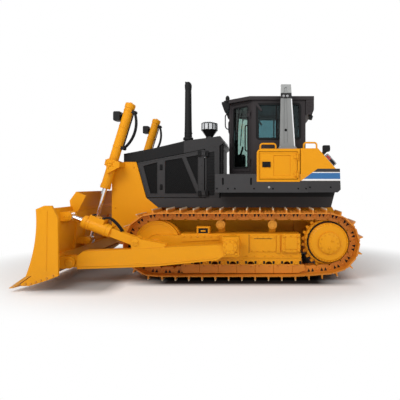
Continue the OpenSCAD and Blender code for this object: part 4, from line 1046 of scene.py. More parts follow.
class DOZER_OT_undercarriage(bpy.types.Operator):
    """Add the bolted covers, caps and rock guards of the track frames, wheels and drives"""

    bl_idname = "dozer.undercarriage"
    bl_label = "Undercarriage covers"

    def execute(self, context):
        self.drives()
        self.frames()
        self.guards()
        self.wheels()
        return {"FINISHED"}

    def drives(self):
        """Bolt ring round each hub, a raised flange behind it and the cover in its middle."""
        at = SPROCKET
        place = in_side(at, TRACK_Y + 0.030)
        rounds = [(0.352, 0), (0.412, 0), (0.418, 0.012), (0.412, 0.040), (0.396, 0.046), (0.352, 0.046)]
        flange = hoop(rounds, place, Y, 64)
        groove = [(0.348, 0.052), (0.372, 0.052), (0.376, 0.060), (0.370, 0.078), (0.348, 0.080)]
        step = hoop(groove, place, Y, 64)
        dish = [(0.0, 0.0), (0.185, 0.0), (0.186, 0.004), (0.176, 0.010), (0.02, 0.012), (0.0, 0.012)]
        cover = lathe(dish, in_side(at, TRACK_Y + 0.2405), Y, 64)
        rim = side_bolts(0.0155, circle_of(at, 0.332, 40), TRACK_Y + 0.190)
        inner = side_bolts(0.012, circle_of(at, 0.158, 12), TRACK_Y + 0.252)
        plug = side_bolts(0.024, [(2.280, 0.570), (2.340, 0.700)], TRACK_Y + 0.252)
        teeth = side_bolts(0.017, circle_of(at, 0.392, 25), TRACK_Y + 0.076)
        pair("drive_covers", [flange, cover, rim, inner, plug, teeth], "yellow", "tractor")
        pair("drive_seals", [step], "rubber", "tractor")

    def frames(self):
        """Covers, slots, seams, roller caps and the guide bracket on the outside of each track frame; the
        slots and dark lines are thin plates of painted shade.
        """
        cover = rect(0.885, 0.49, 1.345, 0.775)
        nose = [(-0.33, 0.665), (0.34, 0.70), (0.34, 0.785), (-0.33, 0.785)]
        rail = rect(-0.29, 0.378, 1.79, 0.402)
        shapes = [plate_on(p, FRAME_OUT, d) for p, d in ((cover, 0.012), (nose, 0.010), (rail, 0.010))]
        shapes.append(plate_on(rect(1.355, 0.47, 1.415, 0.79), FRAME_OUT, 0.020))
        bolts = [(x, z) for x in (0.91, 1.01, 1.115, 1.22, 1.32) for z in (0.515, 0.750)]
        bolts += [(x, 0.765) for x in (-0.29, -0.17, -0.05, 0.07, 0.19, 0.30)]
        shapes.append(side_bolts(sizes().frame_bolt, bolts, FRAME_OUT + 0.010))
        square = circle_of(PIVOT, 0.177, 4, math.pi / 4)
        shapes.append(plate_on(circle_of(PIVOT, 0.150, 4, math.pi / 4), 1.2715, 0.010, 0.006))
        shapes.append(side_bolts(sizes().pivot_bolt, square, 1.289))
        shapes.append(
            side_bolts(0.018, [(1.610, 0.775), (1.610, 0.525), (1.485, 0.65), (1.735, 0.65)], 1.2715)
        )
        rollers = np.stack([-0.228 + 0.3211 * np.arange(7), np.full(7, 0.330)], 1)
        hub = [(0.040, 0), (0.040, 0.012), (0.033, 0.018), (0.016, 0.018), (0.012, 0.012)]
        cap = lathe(hub, (0, 0, 0), Z, 20)
        shapes.append(copies(cap, side_points(rollers - [0, 0.030], FRAME_OUT), Y))
        shapes.append(
            side_bolts(0.014, np.concatenate([rollers + [s, 0.085] for s in (-0.09, 0.09)]), FRAME_OUT)
        )
        uprights = rect(-0.062, 0.818, -0.040, 0.932), rect(0.135, 0.818, 0.157, 0.932)
        step = rect(0.005, 0.850, 0.090, 0.874)
        shapes += [plate_on(p, FRAME_OUT, 0.012) for p in (*uprights, step)]
        shapes.append(plate_on(rect(-0.062, 0.912, 0.157, 0.934), FRAME_OUT, 0.014))
        pair("frame_covers", shapes, "yellow", "tractor")
        # Dark plates of painted shade: the bracket's opening, the slots by the rollers, the cover's seam,
        # the diagonal slot and the thin line under the cover's top bolts.
        dark = [slot_shade_on(rect(-0.036, 0.822, 0.131, 0.908), FRAME_OUT)]
        for x in rollers[:, 0]:
            for s in (-0.076, 0.076):
                slot = rounded(0.038, 0.052, 0.008) + [x + s, 0.300]
                dark.append(slot_shade_on(slot, FRAME_OUT))
        dark.append(slot_shade_on(rect(0.860, 0.47, 0.868, 0.80), FRAME_OUT))
        dark.append(slot_shade_on([(1.755, 0.545), (1.765, 0.552), (1.822, 0.470), (1.812, 0.463)], FRAME_OUT))
        dark.append(plate_on(rect(0.95, 0.720, 1.28, 0.730), FRAME_OUT + 0.0115, 0.002, 0.001))
        pair("frame_slot_shade", dark, "rubber", "tractor")

    def guards(self):
        """Rock guards end to end on both sides of the rollers, from the frame to just over the shoes, in the
        darker chain paint as painted shade under the frame.
        """
        low, high, gap = 0.106, 0.266, 0.003
        nose = [(-0.345, 0.150), (-0.305, low), (-0.018, low), (-0.018, high), (-0.345, high)]
        tail = [(1.635, low), (1.745, 0.110), (1.870, 0.158), (1.845, 0.262), (1.635, 0.262)]
        starts = -0.015 + 0.330 * np.arange(5)
        panels = [[(x, low), (x + 0.330 - gap, low), (x + 0.330 - gap, high), (x, high)] for x in starts]
        panels += [nose, tail]
        heads = [(x + s, 0.236) for x in np.append(starts, [-0.345, 1.600]) for s in (0.070, 0.255)]
        shapes = [plate_on(p, y, 0.024, 0.004) for p in panels for y in (FRAME_OUT - 0.027, TRACK_Y - 0.162)]
        shapes.append(side_bolts(0.014, heads, FRAME_OUT - 0.003))
        # The guards take the chain paint, darker than the frames' yellow, as painted shade under the frame.
        pair("rock_guards", shapes, "chain", "tractor")

    def wheels(self):
        """Hub caps of the idlers and the carrier rollers, and the rim rings of the idlers."""
        at = IDLER
        cap = [(0.0, 0), (0.078, 0), (0.078, 0.010), (0.066, 0.018), (0.0, 0.020)]
        face = TRACK_Y + RAIL_OUT
        ring = [(0.340, 0), (0.345, 0.006), (0.375, 0.006), (0.380, 0)]
        lip = [(0.155, 0), (0.160, 0.008), (0.185, 0.008), (0.190, 0)]
        shapes = [lathe(cap, in_side(at, 1.2575), Y, 32)]
        shapes.append(side_bolts(0.013, circle_of(at, 0.055, 6), 1.275))
        shapes += [lathe(p, in_side(at, face - 0.001), Y, 72) for p in (ring, lip)]
        pair("idler_caps", shapes, "yellow", "tractor")
        end = TRACK_Y + 0.102
        carrier = [
            (0.0, 0), (0.083, -0.001), (0.083, 0.004), (0.072, 0.012), (0.050, 0.012), (0.046, 0.020),
            (0.0, 0.022)
        ]
        ends = [copies(lathe(carrier, (0, 0, 0), Z, 36), side_points(CARRIERS, end - 0.001), Y)]
        for at in CARRIERS:
            ends.append(side_bolts(0.009, circle_of(at, 0.062, 6), end + 0.010))
        pair("carrier_caps", ends, "roller", "tractor")


# Blade, push arms and cylinders


EDGE_FOOT = np.array([-2.758, 0.065])
EDGE_RISE = np.array([0.270, 0.190])
BEND_Y = 1.610
SWEEP = 0.110
TIP_Y = 2.030
LIFT_Y = 0.850
ARM_Y = 1.497
LIFT_TOP = np.array([-1.720, 2.085])
LIFT_AHEAD = np.array([-0.2932, -0.9561])
LIFT_BACK = np.array([0.9561, -0.2932])
TILT_FOOT = np.array([-1.040, 0.712])
TILT_AHEAD = np.array([-0.9345, 0.3559])
TILT_RISE = np.array([0.3559, 0.9345])
ARM_PIN = (-2.155, 0.374)
TILT_PIN = (-2.190, 1.150)
LIFT_PIN = (-2.160, 0.650)
TRUNNION = (0.555, 0.640)


def led(y):
    """How far the blade leads at a distance y: nothing up to the bend, then evenly to the tip."""
    return -SWEEP * np.clip((np.abs(y) - BEND_Y) / (TIP_Y - BEND_Y), 0, 1)


def in_side(flat, y=0.0):
    """A direction or point of the side view as a space vector."""
    return np.array([flat[0], y, flat[1]])


def round_axis(at, axis, radius, count):
    """Points evenly round an axis: at + radius * (cos t * u + sin t * v)."""
    u, v = (k[0] for k in across(axis)[1:])
    t = np.linspace(0, 2 * math.pi, count, endpoint=False)[:, None]
    return at + radius * (np.cos(t) * u + np.sin(t) * v)


def pin_cap(radius):
    """Cap of a pin: a round plate with two bolts and a grease nipple in its middle."""
    rim = [(radius, 0), (radius, 0.010), (radius * 0.9, 0.015)]
    plate = lathe(rim + [(0.016, 0.015), (0.014, 0.019), (0.004, 0.022)], (0, 0, 0), Z, 28)
    heads = copies(bolt(0.013), [(radius * 0.58, 0, 0.014), (-radius * 0.58, 0, 0.014)], Z)
    return join([plate, heads])


class DOZER_OT_blade(bpy.types.Operator):
    """Bolt the cutting edge and end bits to the blade, and add its welds, ribs and pin caps"""

    bl_idname = "dozer.blade"
    bl_label = "Blade fittings"

    def execute(self, context):
        y = np.concatenate([np.arange(-1.55, 1.56, 0.155), [-1.93, -1.83, -1.73, 1.73, 1.83, 1.93]])
        front = in_side((-0.5755, 0.8178))
        heads = []
        for share in (0.52, 0.82):
            flat = EDGE_FOOT + share * EDGE_RISE
            rows = np.stack([flat[0] + led(y), y, np.full(len(y), flat[1])], 1)
            dome = lathe([(0.021, -0.001), (0.021, 0.002), (0.015, 0.007), (0.004, 0.009)], (0, 0, 0), Z, 14)
            heads.append(copies(dome, rows, front))
        put("edge_bolts", heads, FINISH["edge"], "blade_body")
        ends = [
            (-2.60, 0.135), (-2.52, 0.135), (-2.44, 0.165), (-2.36, 0.190), (-2.27, 0.222), (-2.17, 0.262)
        ]
        pair("end_bit_bolts", [side_bolts(0.019, ends, TIP_Y)], "edge", "blade_body")
        self.seams()
        self.pins()
        return {"FINISHED"}

    def seams(self):
        """Weld beads along the cross beams and down the end plates, and the ribs between the beams."""
        weld, reach = sizes().weld, BEND_Y - 0.02
        lines = ((-2.312, 0.520), (-2.312, 0.330), (-2.266, 1.210), (-2.266, 1.040))
        back = [bead([(x, -reach, z), (x, reach, z)], weld) for x, z in lines]
        put("blade_welds", back, FINISH["yellow"], "blade_body")
        u = np.linspace(0.02, 0.98, 30)
        face = np.stack([-2.598 + 0.156 * u + 0.24 * u * (1 - u), 0.255 + 1.045 * u], 1)
        curve = side_points(face + [0.036, 0], TIP_Y - 0.040)
        foot, head = [(-2.385, 0.522), (-2.314, 0.522)], [(-2.270, 1.038), (-2.310, 1.038)]
        shape = foot + head + [(-2.320, 0.90), (-2.346, 0.70)]
        ribs = [plate_on(shape, y, 0.024, 0.004) for y in (0.30, 0.72, 1.06)]
        pair("blade_ribs", [bead(curve, weld)] + ribs, "yellow", "blade_body")

    def pins(self):
        """Caps on the blade's pins and a seam down each end plate."""
        pins = (
            (ARM_PIN, 0.066, 1.599, 1.395), (TILT_PIN, 0.058, 1.599, 1.395),
            (LIFT_PIN, 0.052, 0.948, 0.752)
        )
        caps = [copies(pin_cap(radius), side_points([at], far), Y) for at, radius, far, near in pins]
        caps += [copies(pin_cap(radius), side_points([at], near), -Y) for at, radius, far, near in pins]
        fold = bead(side_points([(-2.274, 0.34), (-2.262, 1.28)], TIP_Y + 0.001), sizes().weld - 0.001)
        pair("blade_pins", caps + [fold], "yellow", "blade_body")


class DOZER_OT_push_arms(bpy.types.Operator):
    """Add the bearing caps, pin caps, seams and welds of the push arms"""

    bl_idname = "dozer.push_arms"
    bl_label = "Push arm fittings"

    def execute(self, context):
        plate = [(0.125, 0), (0.122, 0.006), (0.070, 0.007), (0.066, 0.014), (0.0, 0.016)]
        cap = lathe(plate, in_side(TRUNNION, 1.6225), Y, 40)
        heads = side_bolts(0.015, circle_of(TRUNNION, 0.096, 8), 1.629)
        pair("trunnion_caps", [cap, heads], "yellow", "tractor")
        face = 1.592
        strap = [plate_on(rect(0.445, 0.690, 0.690, 0.785), face - 0.001, 0.014, 0.005)]
        strap.append(plate_on(rect(0.445, 0.485, 0.690, 0.545), face - 0.001, 0.012, 0.005))
        strap.append(
            side_bolts(
                sizes().strap_bolt, [(0.475, 0.738), (0.66, 0.738), (0.475, 0.515), (0.66, 0.515)],
                face + 0.011
            )
        )
        rub = [
            (-2.01, 0.300), (-1.16, 0.325), (-0.66, 0.346), (0.33, 0.446), (0.33, 0.470), (-0.66, 0.372),
            (-1.16, 0.352), (-2.01, 0.327)
        ]
        strap.append(plate_on(rub, face - 0.001, 0.010, 0.004))
        strap.append(copies(pin_cap(0.060), side_points([TILT_FOOT], 1.589), Y))
        strap.append(copies(pin_cap(0.060), side_points([TILT_FOOT], 1.405), -Y))
        weld = side_points([(-1.11, 0.597), (-0.94, 0.606), (-0.54, 0.627)], 1.588)
        seam = side_points([(0.34, 0.668), (0.425, 0.674), (0.425, 0.795)], face)
        strap += [bead(line, sizes().weld) for line in (weld, seam)]
        pair("arm_fittings", strap, "yellow", "push_frame")
        # Dark plates of painted shade in the strap's gaps.
        gap = [slot_shade_on([(0.470, 0.676), (0.530, 0.676), (0.520, 0.688), (0.480, 0.688)], face)]
        gap.append(slot_shade_on([(0.580, 0.676), (0.640, 0.676), (0.630, 0.688), (0.590, 0.688)], face))
        gap.append(slot_shade_on(rect(0.46, 0.549, 0.52, 0.556), face))
        pair("arm_gap_shade", gap, "rubber", "push_frame")
        return {"FINISHED"}


class DOZER_OT_cylinders(bpy.types.Operator):
    """Add glands, caps, clamps, pipes and lamp faces to the lift and tilt cylinders"""

    bl_idname = "dozer.cylinders"
    bl_label = "Cylinder fittings"

    def execute(self, context):
        self.lift()
        self.tilt()
        return {"FINISHED"}

    def lift(self):
        """Gland and its bolts, domed head, hose clamps, bearing caps, the lamp's face and the rear pipe."""
        axis = in_side(LIFT_AHEAD)
        foot = in_side(LIFT_TOP + 0.480 * LIFT_AHEAD, LIFT_Y)
        head = in_side(LIFT_TOP - 1.160 * LIFT_AHEAD, LIFT_Y)
        collar = [(0.0445, -0.001), (0.092, -0.001), (0.092, 0.003), (0.066, 0.005), (0.0445, 0.006)]
        gland = hoop(collar, foot, axis, 40)
        bulge = [
            (0.093, -0.001), (0.088, 0.012), (0.060, 0.024), (0.026, 0.026), (0.024, 0.040), (0.0, 0.042)
        ]
        dome = lathe(bulge, head, -axis, 40)
        ring = round_axis(foot + 0.003 * axis, axis, 0.079, 8)
        clamp = [(0.0855, -0.016), (0.091, -0.014), (0.091, 0.014), (0.0855, 0.016)]
        places = [in_side(LIFT_TOP + s * LIFT_AHEAD, LIFT_Y) for s in (-1.04, -0.72, -0.33)]
        bands = [hoop(clamp, at, axis, 40) for at in places]
        pair(
            "lift_glands", [gland, dome, copies(bolt(0.011), ring, axis)] + bands, "yellow",
            "lift_cylinder_{}"
        )
        bearing = [
            copies(pin_cap(0.058), side_points([LIFT_TOP], LIFT_Y + s * 0.150), s * Y) for s in (-1, 1)
        ]
        ears = circle_of(LIFT_TOP, 0.088, 6, 0.3)
        bearing.append(side_bolts(0.012, ears, LIFT_Y + 0.150))
        pair("lift_bearings", bearing, "yellow", "tractor")
        at = (-1.665, LIFT_Y, 2.970)
        pair(
            "lift_lamp_lens", [slab(rounded(0.138, 0.138, 0.022), at, Z, Y, 0.006, 0.004)], "lens",
            "lift_cylinder_{}"
        )
        rim = [frame_ring(rounded(0.168, 0.168, 0.030), 0.018, at, Z, Y, 0.016, 0.004)]
        for k in range(3):
            z = 2.915 + 0.055 * k
            rim.append(slab(rounded(0.11, 0.020, 0.006), (-1.560, LIFT_Y, z), Y, Z, 0.014, 0.004))
        blocks = []
        for s in (-1.04, -0.33):
            for y in (-0.026, 0.026):
                end = in_side(LIFT_TOP + s * LIFT_AHEAD + 0.142 * LIFT_BACK, LIFT_Y + y)
                blocks.append(
                    lathe([(0.022, -0.012), (0.022, 0.010), (0.016, 0.014)], end, in_side(LIFT_BACK), 6)
                )
        pair("lift_lamp_rims", rim + blocks, "plastic", "lift_cylinder_{}")
        upper = [(-1.068, 0.082), (-1.060, 0.098), (-1.045, 0.104)]
        lower = [(-0.325, 0.104), (-0.310, 0.098), (-0.302, 0.082)]
        run = LIFT_TOP + np.array(upper + lower) @ np.stack([LIFT_AHEAD, LIFT_BACK])
        pipe = tube(side_points(run, LIFT_Y), sizes().lift_pipe, 12)
        pair("lift_pipes", [pipe], "rubber", "lift_cylinder_{}")

    def tilt(self):
        """Gland, bands, valve fittings and a looped pipe on each tilt strut."""
        axis = in_side(TILT_AHEAD)
        rise = in_side(TILT_RISE)

        def spot(s, up=0.0, y=0.0):
            return in_side(TILT_FOOT + s * TILT_AHEAD + up * TILT_RISE, ARM_Y + y)

        collar = [(0.112, -0.001), (0.110, 0.010), (0.072, 0.016), (0.066, 0.034), (0.051, 0.036)]
        gland = lathe(collar, spot(0.960), axis, 40)
        band = [(0.1045, -0.018), (0.112, -0.015), (0.112, 0.015), (0.1045, 0.018)]
        bands = [lathe(band, spot(s), axis, 40) for s in (0.56, 0.86)]
        ring = round_axis(spot(0.972), axis, 0.094, 8)
        pair(
            "tilt_glands", [gland, copies(bolt(0.012), ring, axis)] + bands, "yellow", "tilt_cylinder_{}",
        )
        rear = arc(spot(0.66, 0.158), spot(0.62, 0.235), spot(0.52, 0.200))
        ahead = arc(spot(0.52, 0.200), spot(0.40, 0.160), spot(0.30, 0.082))
        pipe = np.concatenate([rear, ahead[1:]])
        fit = [
            lathe([(0.024, 0), (0.024, 0.016), (0.018, 0.022)], spot(s, 0.159, y), rise, 6)
            for s in (0.66, 0.84) for y in (-0.035, 0.035)
        ]
        loops = [tube(pipe + [0, dy, 0], sizes().tilt_pipe, 12) for dy in (-0.035, 0.035)]
        lids = [
            copies(bolt(0.012), [spot(s, 0.159, y) for s in (0.71, 0.79) for y in (-0.055, 0.055)], rise)
        ]
        clamp = [
            lathe([(0.020, -0.012), (0.020, 0.012)], spot(0.305, 0.080, dy), rise, 6)
            for dy in (-0.035, 0.035)
        ]
        pair("tilt_pipes", loops + fit + lids + clamp, "rubber", "tilt_cylinder_{}")


# Hood, engine doors and the pieces on the hood


HALF = 0.755
PANEL_FLOOR = HALF - 0.0165
LOUVRE_FLOOR = HALF - 0.0145
DOOR_PANELS = (
    [(-1.193, 2.055), (-1.049, 1.500), (-0.892, 1.500), (-0.892, 2.135)],
    [(-0.772, 2.158), (-0.772, 1.500), (-0.127, 1.500), (-0.425, 2.216)],
    [(-0.377, 2.225), (-0.115, 1.596), (-0.115, 2.269)],
)
HOOD_TOP = np.array([(-1.545, 2.276), (-0.988, 2.379), (-0.353, 2.530), (0.185, 2.601), (0.296, 2.618)])
STACK_X = -0.466
CLEANER_X = -0.017


def hatch(outline, angle, gap):
    """Parallel lines across a convex outline: the line n.p = c runs between the two edges it crosses."""
    p = np.asarray(outline, float)
    q = np.roll(p, -1, 0)
    d = np.array([math.cos(angle), math.sin(angle)])
    n = np.array([-d[1], d[0]])
    a, b = p @ n, q @ n
    c = np.arange(a.min() + gap / 2, a.max(), gap)[:, None]
    crossed = (a - c) * (b - c) < 0
    share = (c - a) / np.where(b == a, 1.0, b - a)
    s = (p @ d) + share * ((q - p) @ d)
    low = np.where(crossed, s, np.inf).min(1, keepdims=True)
    high = np.where(crossed, s, -np.inf).max(1, keepdims=True)
    return c * n + low * d, c * n + high * d


def mesh_on(outline, y, height):
    """Crossed wires over a side-view outline, standing out from y."""
    pitch, wire_width = sizes().mesh_pitch, sizes().mesh_wire
    lines = [hatch(outline, math.radians(turn), pitch) for turn in (45, 135)]
    return [bars(side_points(a, y), side_points(b, y), Y, wire_width, height) for a, b in lines]


def lip_on(outline, width, y, depth, bevel=0.002):
    """A flat lip along the inside of a side-view outline, standing out from y."""
    flat = anticlockwise(np.asarray(outline, float)[:, ::-1])
    return frame_ring(flat, width, (0, y, 0), Z, X, depth, bevel)


class DOZER_OT_engine_doors(bpy.types.Operator):
    """Give the engine doors their wire mesh, frame lips, hinge blocks and latches"""

    bl_idname = "dozer.engine_doors"
    bl_label = "Engine doors"

    def execute(self, context):
        leaf = "engine_door_{}_leaf"
        wires = [w for panel in DOOR_PANELS for w in mesh_on(panel, PANEL_FLOOR, 0.005)]
        pair("door_mesh", wires, "mesh", leaf)
        lips = [lip_on(panel, 0.016, PANEL_FLOOR, 0.0195) for panel in DOOR_PANELS]
        rim = [(-1.284, 2.100), (-1.102, 1.446), (-0.014, 1.446), (-0.014, 2.350), (-0.416, 2.267)]
        lips.append(lip_on(rim, 0.020, HALF - 0.001, 0.006))
        studs = [
            (-1.225, 1.98), (-1.165, 1.76), (-1.105, 1.54), (-0.832, 1.47), (-0.45, 1.47), (-0.061, 1.70),
            (-0.061, 2.05)
        ]
        lips.append(side_bolts(0.011, studs, HALF))
        pair("door_lips", lips, "panel", leaf)
        blocks = []
        for z in (1.516, 2.276):
            blocks.append(plate_on(rounded(0.062, 0.104, 0.010) + [-0.096, z], HALF - 0.001, 0.036, 0.006))
            blocks.append(side_bolts(0.010, [(-0.096, z - 0.032), (-0.096, z + 0.032)], HALF + 0.035))
        for z in (1.640, 2.020):
            blocks.append(plate_on(rounded(0.052, 0.110, 0.012) + [-0.832, z], HALF - 0.001, 0.012, 0.004))
            blocks.append(
                plate_on(rounded(0.030, 0.074, 0.010) + [-0.832, z - 0.006], HALF + 0.010, 0.014, 0.005)
            )
        pair("door_latches", blocks, "rubber", leaf)
        covers = [
            plate_on(rounded(0.040, 0.104, 0.008) + [0.052, z], HALF - 0.001, 0.034, 0.006)
            for z in (1.516, 2.276)
        ]
        pair("hinge_blocks", covers, "rubber", "tractor")
        return {"FINISHED"}


class DOZER_OT_hood(bpy.types.Operator):
    """Add the hood's bolts, cowl louvres, front guard bolts and the duct behind the hood"""

    bl_idname = "dozer.hood"
    bl_label = "Hood fittings"

    def execute(self, context):
        x = np.linspace(-1.48, 0.24, 9)
        z = np.interp(x, HOOD_TOP[:, 0], HOOD_TOP[:, 1])
        slope = np.interp(x + 0.02, HOOD_TOP[:, 0], HOOD_TOP[:, 1]) - z
        up = np.stack([-slope / 0.02, np.zeros(9), np.ones(9)], 1)
        tops = [copies(bolt(0.013), np.stack([x, np.full(9, y), z], 1), up) for y in (0.700, 0.260)]
        strip = np.stack([HOOD_TOP[:, 0], np.full(5, 0.30), HOOD_TOP[:, 1] + 0.001], 1)
        tops += [bars(strip[:-1], strip[1:], Z, 0.010, 0.003)]
        row = [(k, 2.329 + 0.205 * (k + 0.19)) for k in np.linspace(-1.05, 0.20, 6)]
        row += [(-1.47, 2.150), (-1.36, 2.150)]
        tops.append(side_bolts(0.011, row, HALF))
        slats = []
        for k in np.linspace(1.52, 2.24, 14):
            slats.append(plate_on(rounded(0.140, 0.024, 0.004) + [0.110, k], LOUVRE_FLOOR, 0.010, 0.003))
        pair("hood_bolts", tops, "hood", "tractor")
        # The floor behind the slats is a dark plate of painted shade.
        floor = plate_on(
            [(0.037, 1.482), (0.183, 1.482), (0.183, 2.316), (0.037, 2.288)],
            LOUVRE_FLOOR, 0.003, 0.001
        )
        pair("cowl_louvres", [floor] + slats, "rubber", "tractor")
        duct_x, duct = 0.320, []
        ribs = np.linspace(0, 0.52, 40)
        wave = 0.034 + 0.004 * np.cos(ribs * 2 * math.pi / 0.04)
        duct.append(flip(lathe(np.stack([wave, ribs], 1), (duct_x, 0.700, 1.880), Z, 24)))
        elbow = arc((duct_x, -0.700, 2.395), (duct_x, -0.700, 2.455), (0.275, -0.690, 2.470))
        duct.append(tube(elbow, 0.036, 16))
        duct.append(flip(lathe([(0.042, 0), (0.042, 0.022)], (duct_x, 0.700, 2.384), Z, 24)))
        put("hood_duct", duct, FINISH["rubber"], "tractor")
        front = [(-1.775, y, z) for y in (-0.705, 0.705) for z in np.linspace(0.85, 1.83, 7)]
        front += [(-1.775, y, 0.80) for y in (-0.42, -0.14, 0.14, 0.42)]
        size = sizes().guard_bolt
        heads = [copies(bolt(size), front, -X)]
        side = [(-1.71, 0.90), (-1.71, 1.25), (-1.71, 1.60), (-1.36, 2.02), (-0.96, 0.83), (-1.25, 0.83)]
        heads.append(side_bolts(size, side, HALF))
        heads.append(flip(heads[-1]))
        put("guard_bolts", heads, FINISH["yellow"], "tractor")
        return {"FINISHED"}


class DOZER_OT_stack(bpy.types.Operator):
    """Add the rain cap, sleeve and clamp of the exhaust stack, and the struts of the pre-cleaner's bowl"""

    bl_idname = "dozer.stack"
    bl_label = "Stack and pre-cleaner"

    def execute(self, context):
        base = (STACK_X, 0, 0)
        cap = [
            (0.0665, 3.690), (0.0700, 3.715), (0.0745, 3.760), (0.0735, 3.795), (0.060, 3.830),
            (0.036, 3.855), (0.010, 3.866)
        ]
        sleeve = [
            (0.0665, 2.599), (0.083, 2.600), (0.080, 2.700), (0.0745, 2.950), (0.0705, 3.300),
            (0.0675, 3.640), (0.0665, 3.645)
        ]
        band = [(0.070, 2.760), (0.080, 2.763), (0.080, 2.787), (0.070, 2.790)]
        clamp = [
            (0.079, 2.622), (0.104, 2.625), (0.107, 2.634), (0.107, 2.664), (0.101, 2.680), (0.079, 2.694)
        ]
        shapes = [lathe(p, base, Z, 40) for p in (cap, sleeve, clamp, band)]
        ring = np.insert(circle_of((STACK_X, 0), 0.100, 6), 2, 2.600, 1)
        shapes.append(copies(bolt(0.015), ring, Z))
        shapes.append(copies(bolt(0.012), [(STACK_X + 0.080, 0.0, 2.775)], X))
        put("stack_cap", shapes, FINISH["black"], "tractor")
        self.bowl()
        return {"FINISHED"}

    def bowl(self):
        """Dark struts and rims round the clear bowl, and the screw on its lid."""
        base = (CLEANER_X, 0, 0)
        lower = [(0.166, 2.824), (0.173, 2.828), (0.173, 2.840), (0.166, 2.844)]
        upper = [(0.166, 2.962), (0.172, 2.966), (0.170, 2.978), (0.160, 2.984)]
        knob = [(0.030, 3.004), (0.030, 3.018), (0.018, 3.026), (0.004, 3.028)]
        shapes = [lathe(p, base, Z, 48) for p in (lower, upper, knob)]
        for a in np.insert(circle_of((0, 0), 1.0, 12), 2, 0.0, 1):
            at = np.array(base) + 0.1665 * a + [0, 0, 2.903]
            shapes.append(slab(rounded(0.118, 0.020, 0.004), at, Z, np.cross(a, Z), 0.005, 0.002))
        put("bowl_struts", shapes, FINISH["rubber"], "tractor")


# Cab and what is in it


CAB_HALF = 0.820
NOSE = np.array([0.440, 0.420])
WALL = np.array([0.480, 0.400]) / math.hypot(0.480, 0.400)
DOOR_ALONG = np.array([WALL[0], WALL[1], 0])
DOOR_OUT = np.array([-WALL[1], WALL[0], 0])
SIDE_PANE = (2.564, 1.010, 3.205, 1.807)
DOOR_PANE = (2.020, 0.122, 3.190, 0.499)
FRONT_PANE = (2.080, -0.330, 3.240, 0.330)
REAR_PANE = (-0.620, 2.450, 0.620, 2.980)


def on_door(u, z, out=0.0):
    """A point on the right door's diagonal wall: u along it from the front corner, and a way outwards."""
    return np.array([NOSE[0] + u * WALL[0] - out * WALL[1], NOSE[1] + u * WALL[1] + out * WALL[0], z])


def pane_frame(pane, grow, width, corner, at, u, v, depth=0.010):
    """A rounded seal round a pane given by its low and high corners, on the surface spanned by u and v."""
    low, high = np.array(pane[:2]) - grow, np.array(pane[2:]) + grow
    outline = rounded(*(high - low), corner) + (low + high) / 2
    return frame_ring(outline, width, at, u, v, depth, min(0.004, depth / 3))


def wiper(pivot, tip, blade, out):
    """A wiper: its motor cap, the arm from the pivot to the tip, and the blade across the tip."""
    pivot, tip, blade, out = (np.asarray(p, float) for p in (pivot, tip, blade, out))
    cap = lathe([(0.020, 0), (0.020, 0.014), (0.012, 0.022), (0.003, 0.024)], pivot, out, 16)
    arm = bars([pivot + 0.014 * out], [tip + 0.014 * out], out, 0.014, 0.008)
    edge = bars([tip - blade + 0.004 * out], [tip + blade + 0.004 * out], out, 0.010, 0.016)
    return [cap, arm, edge]


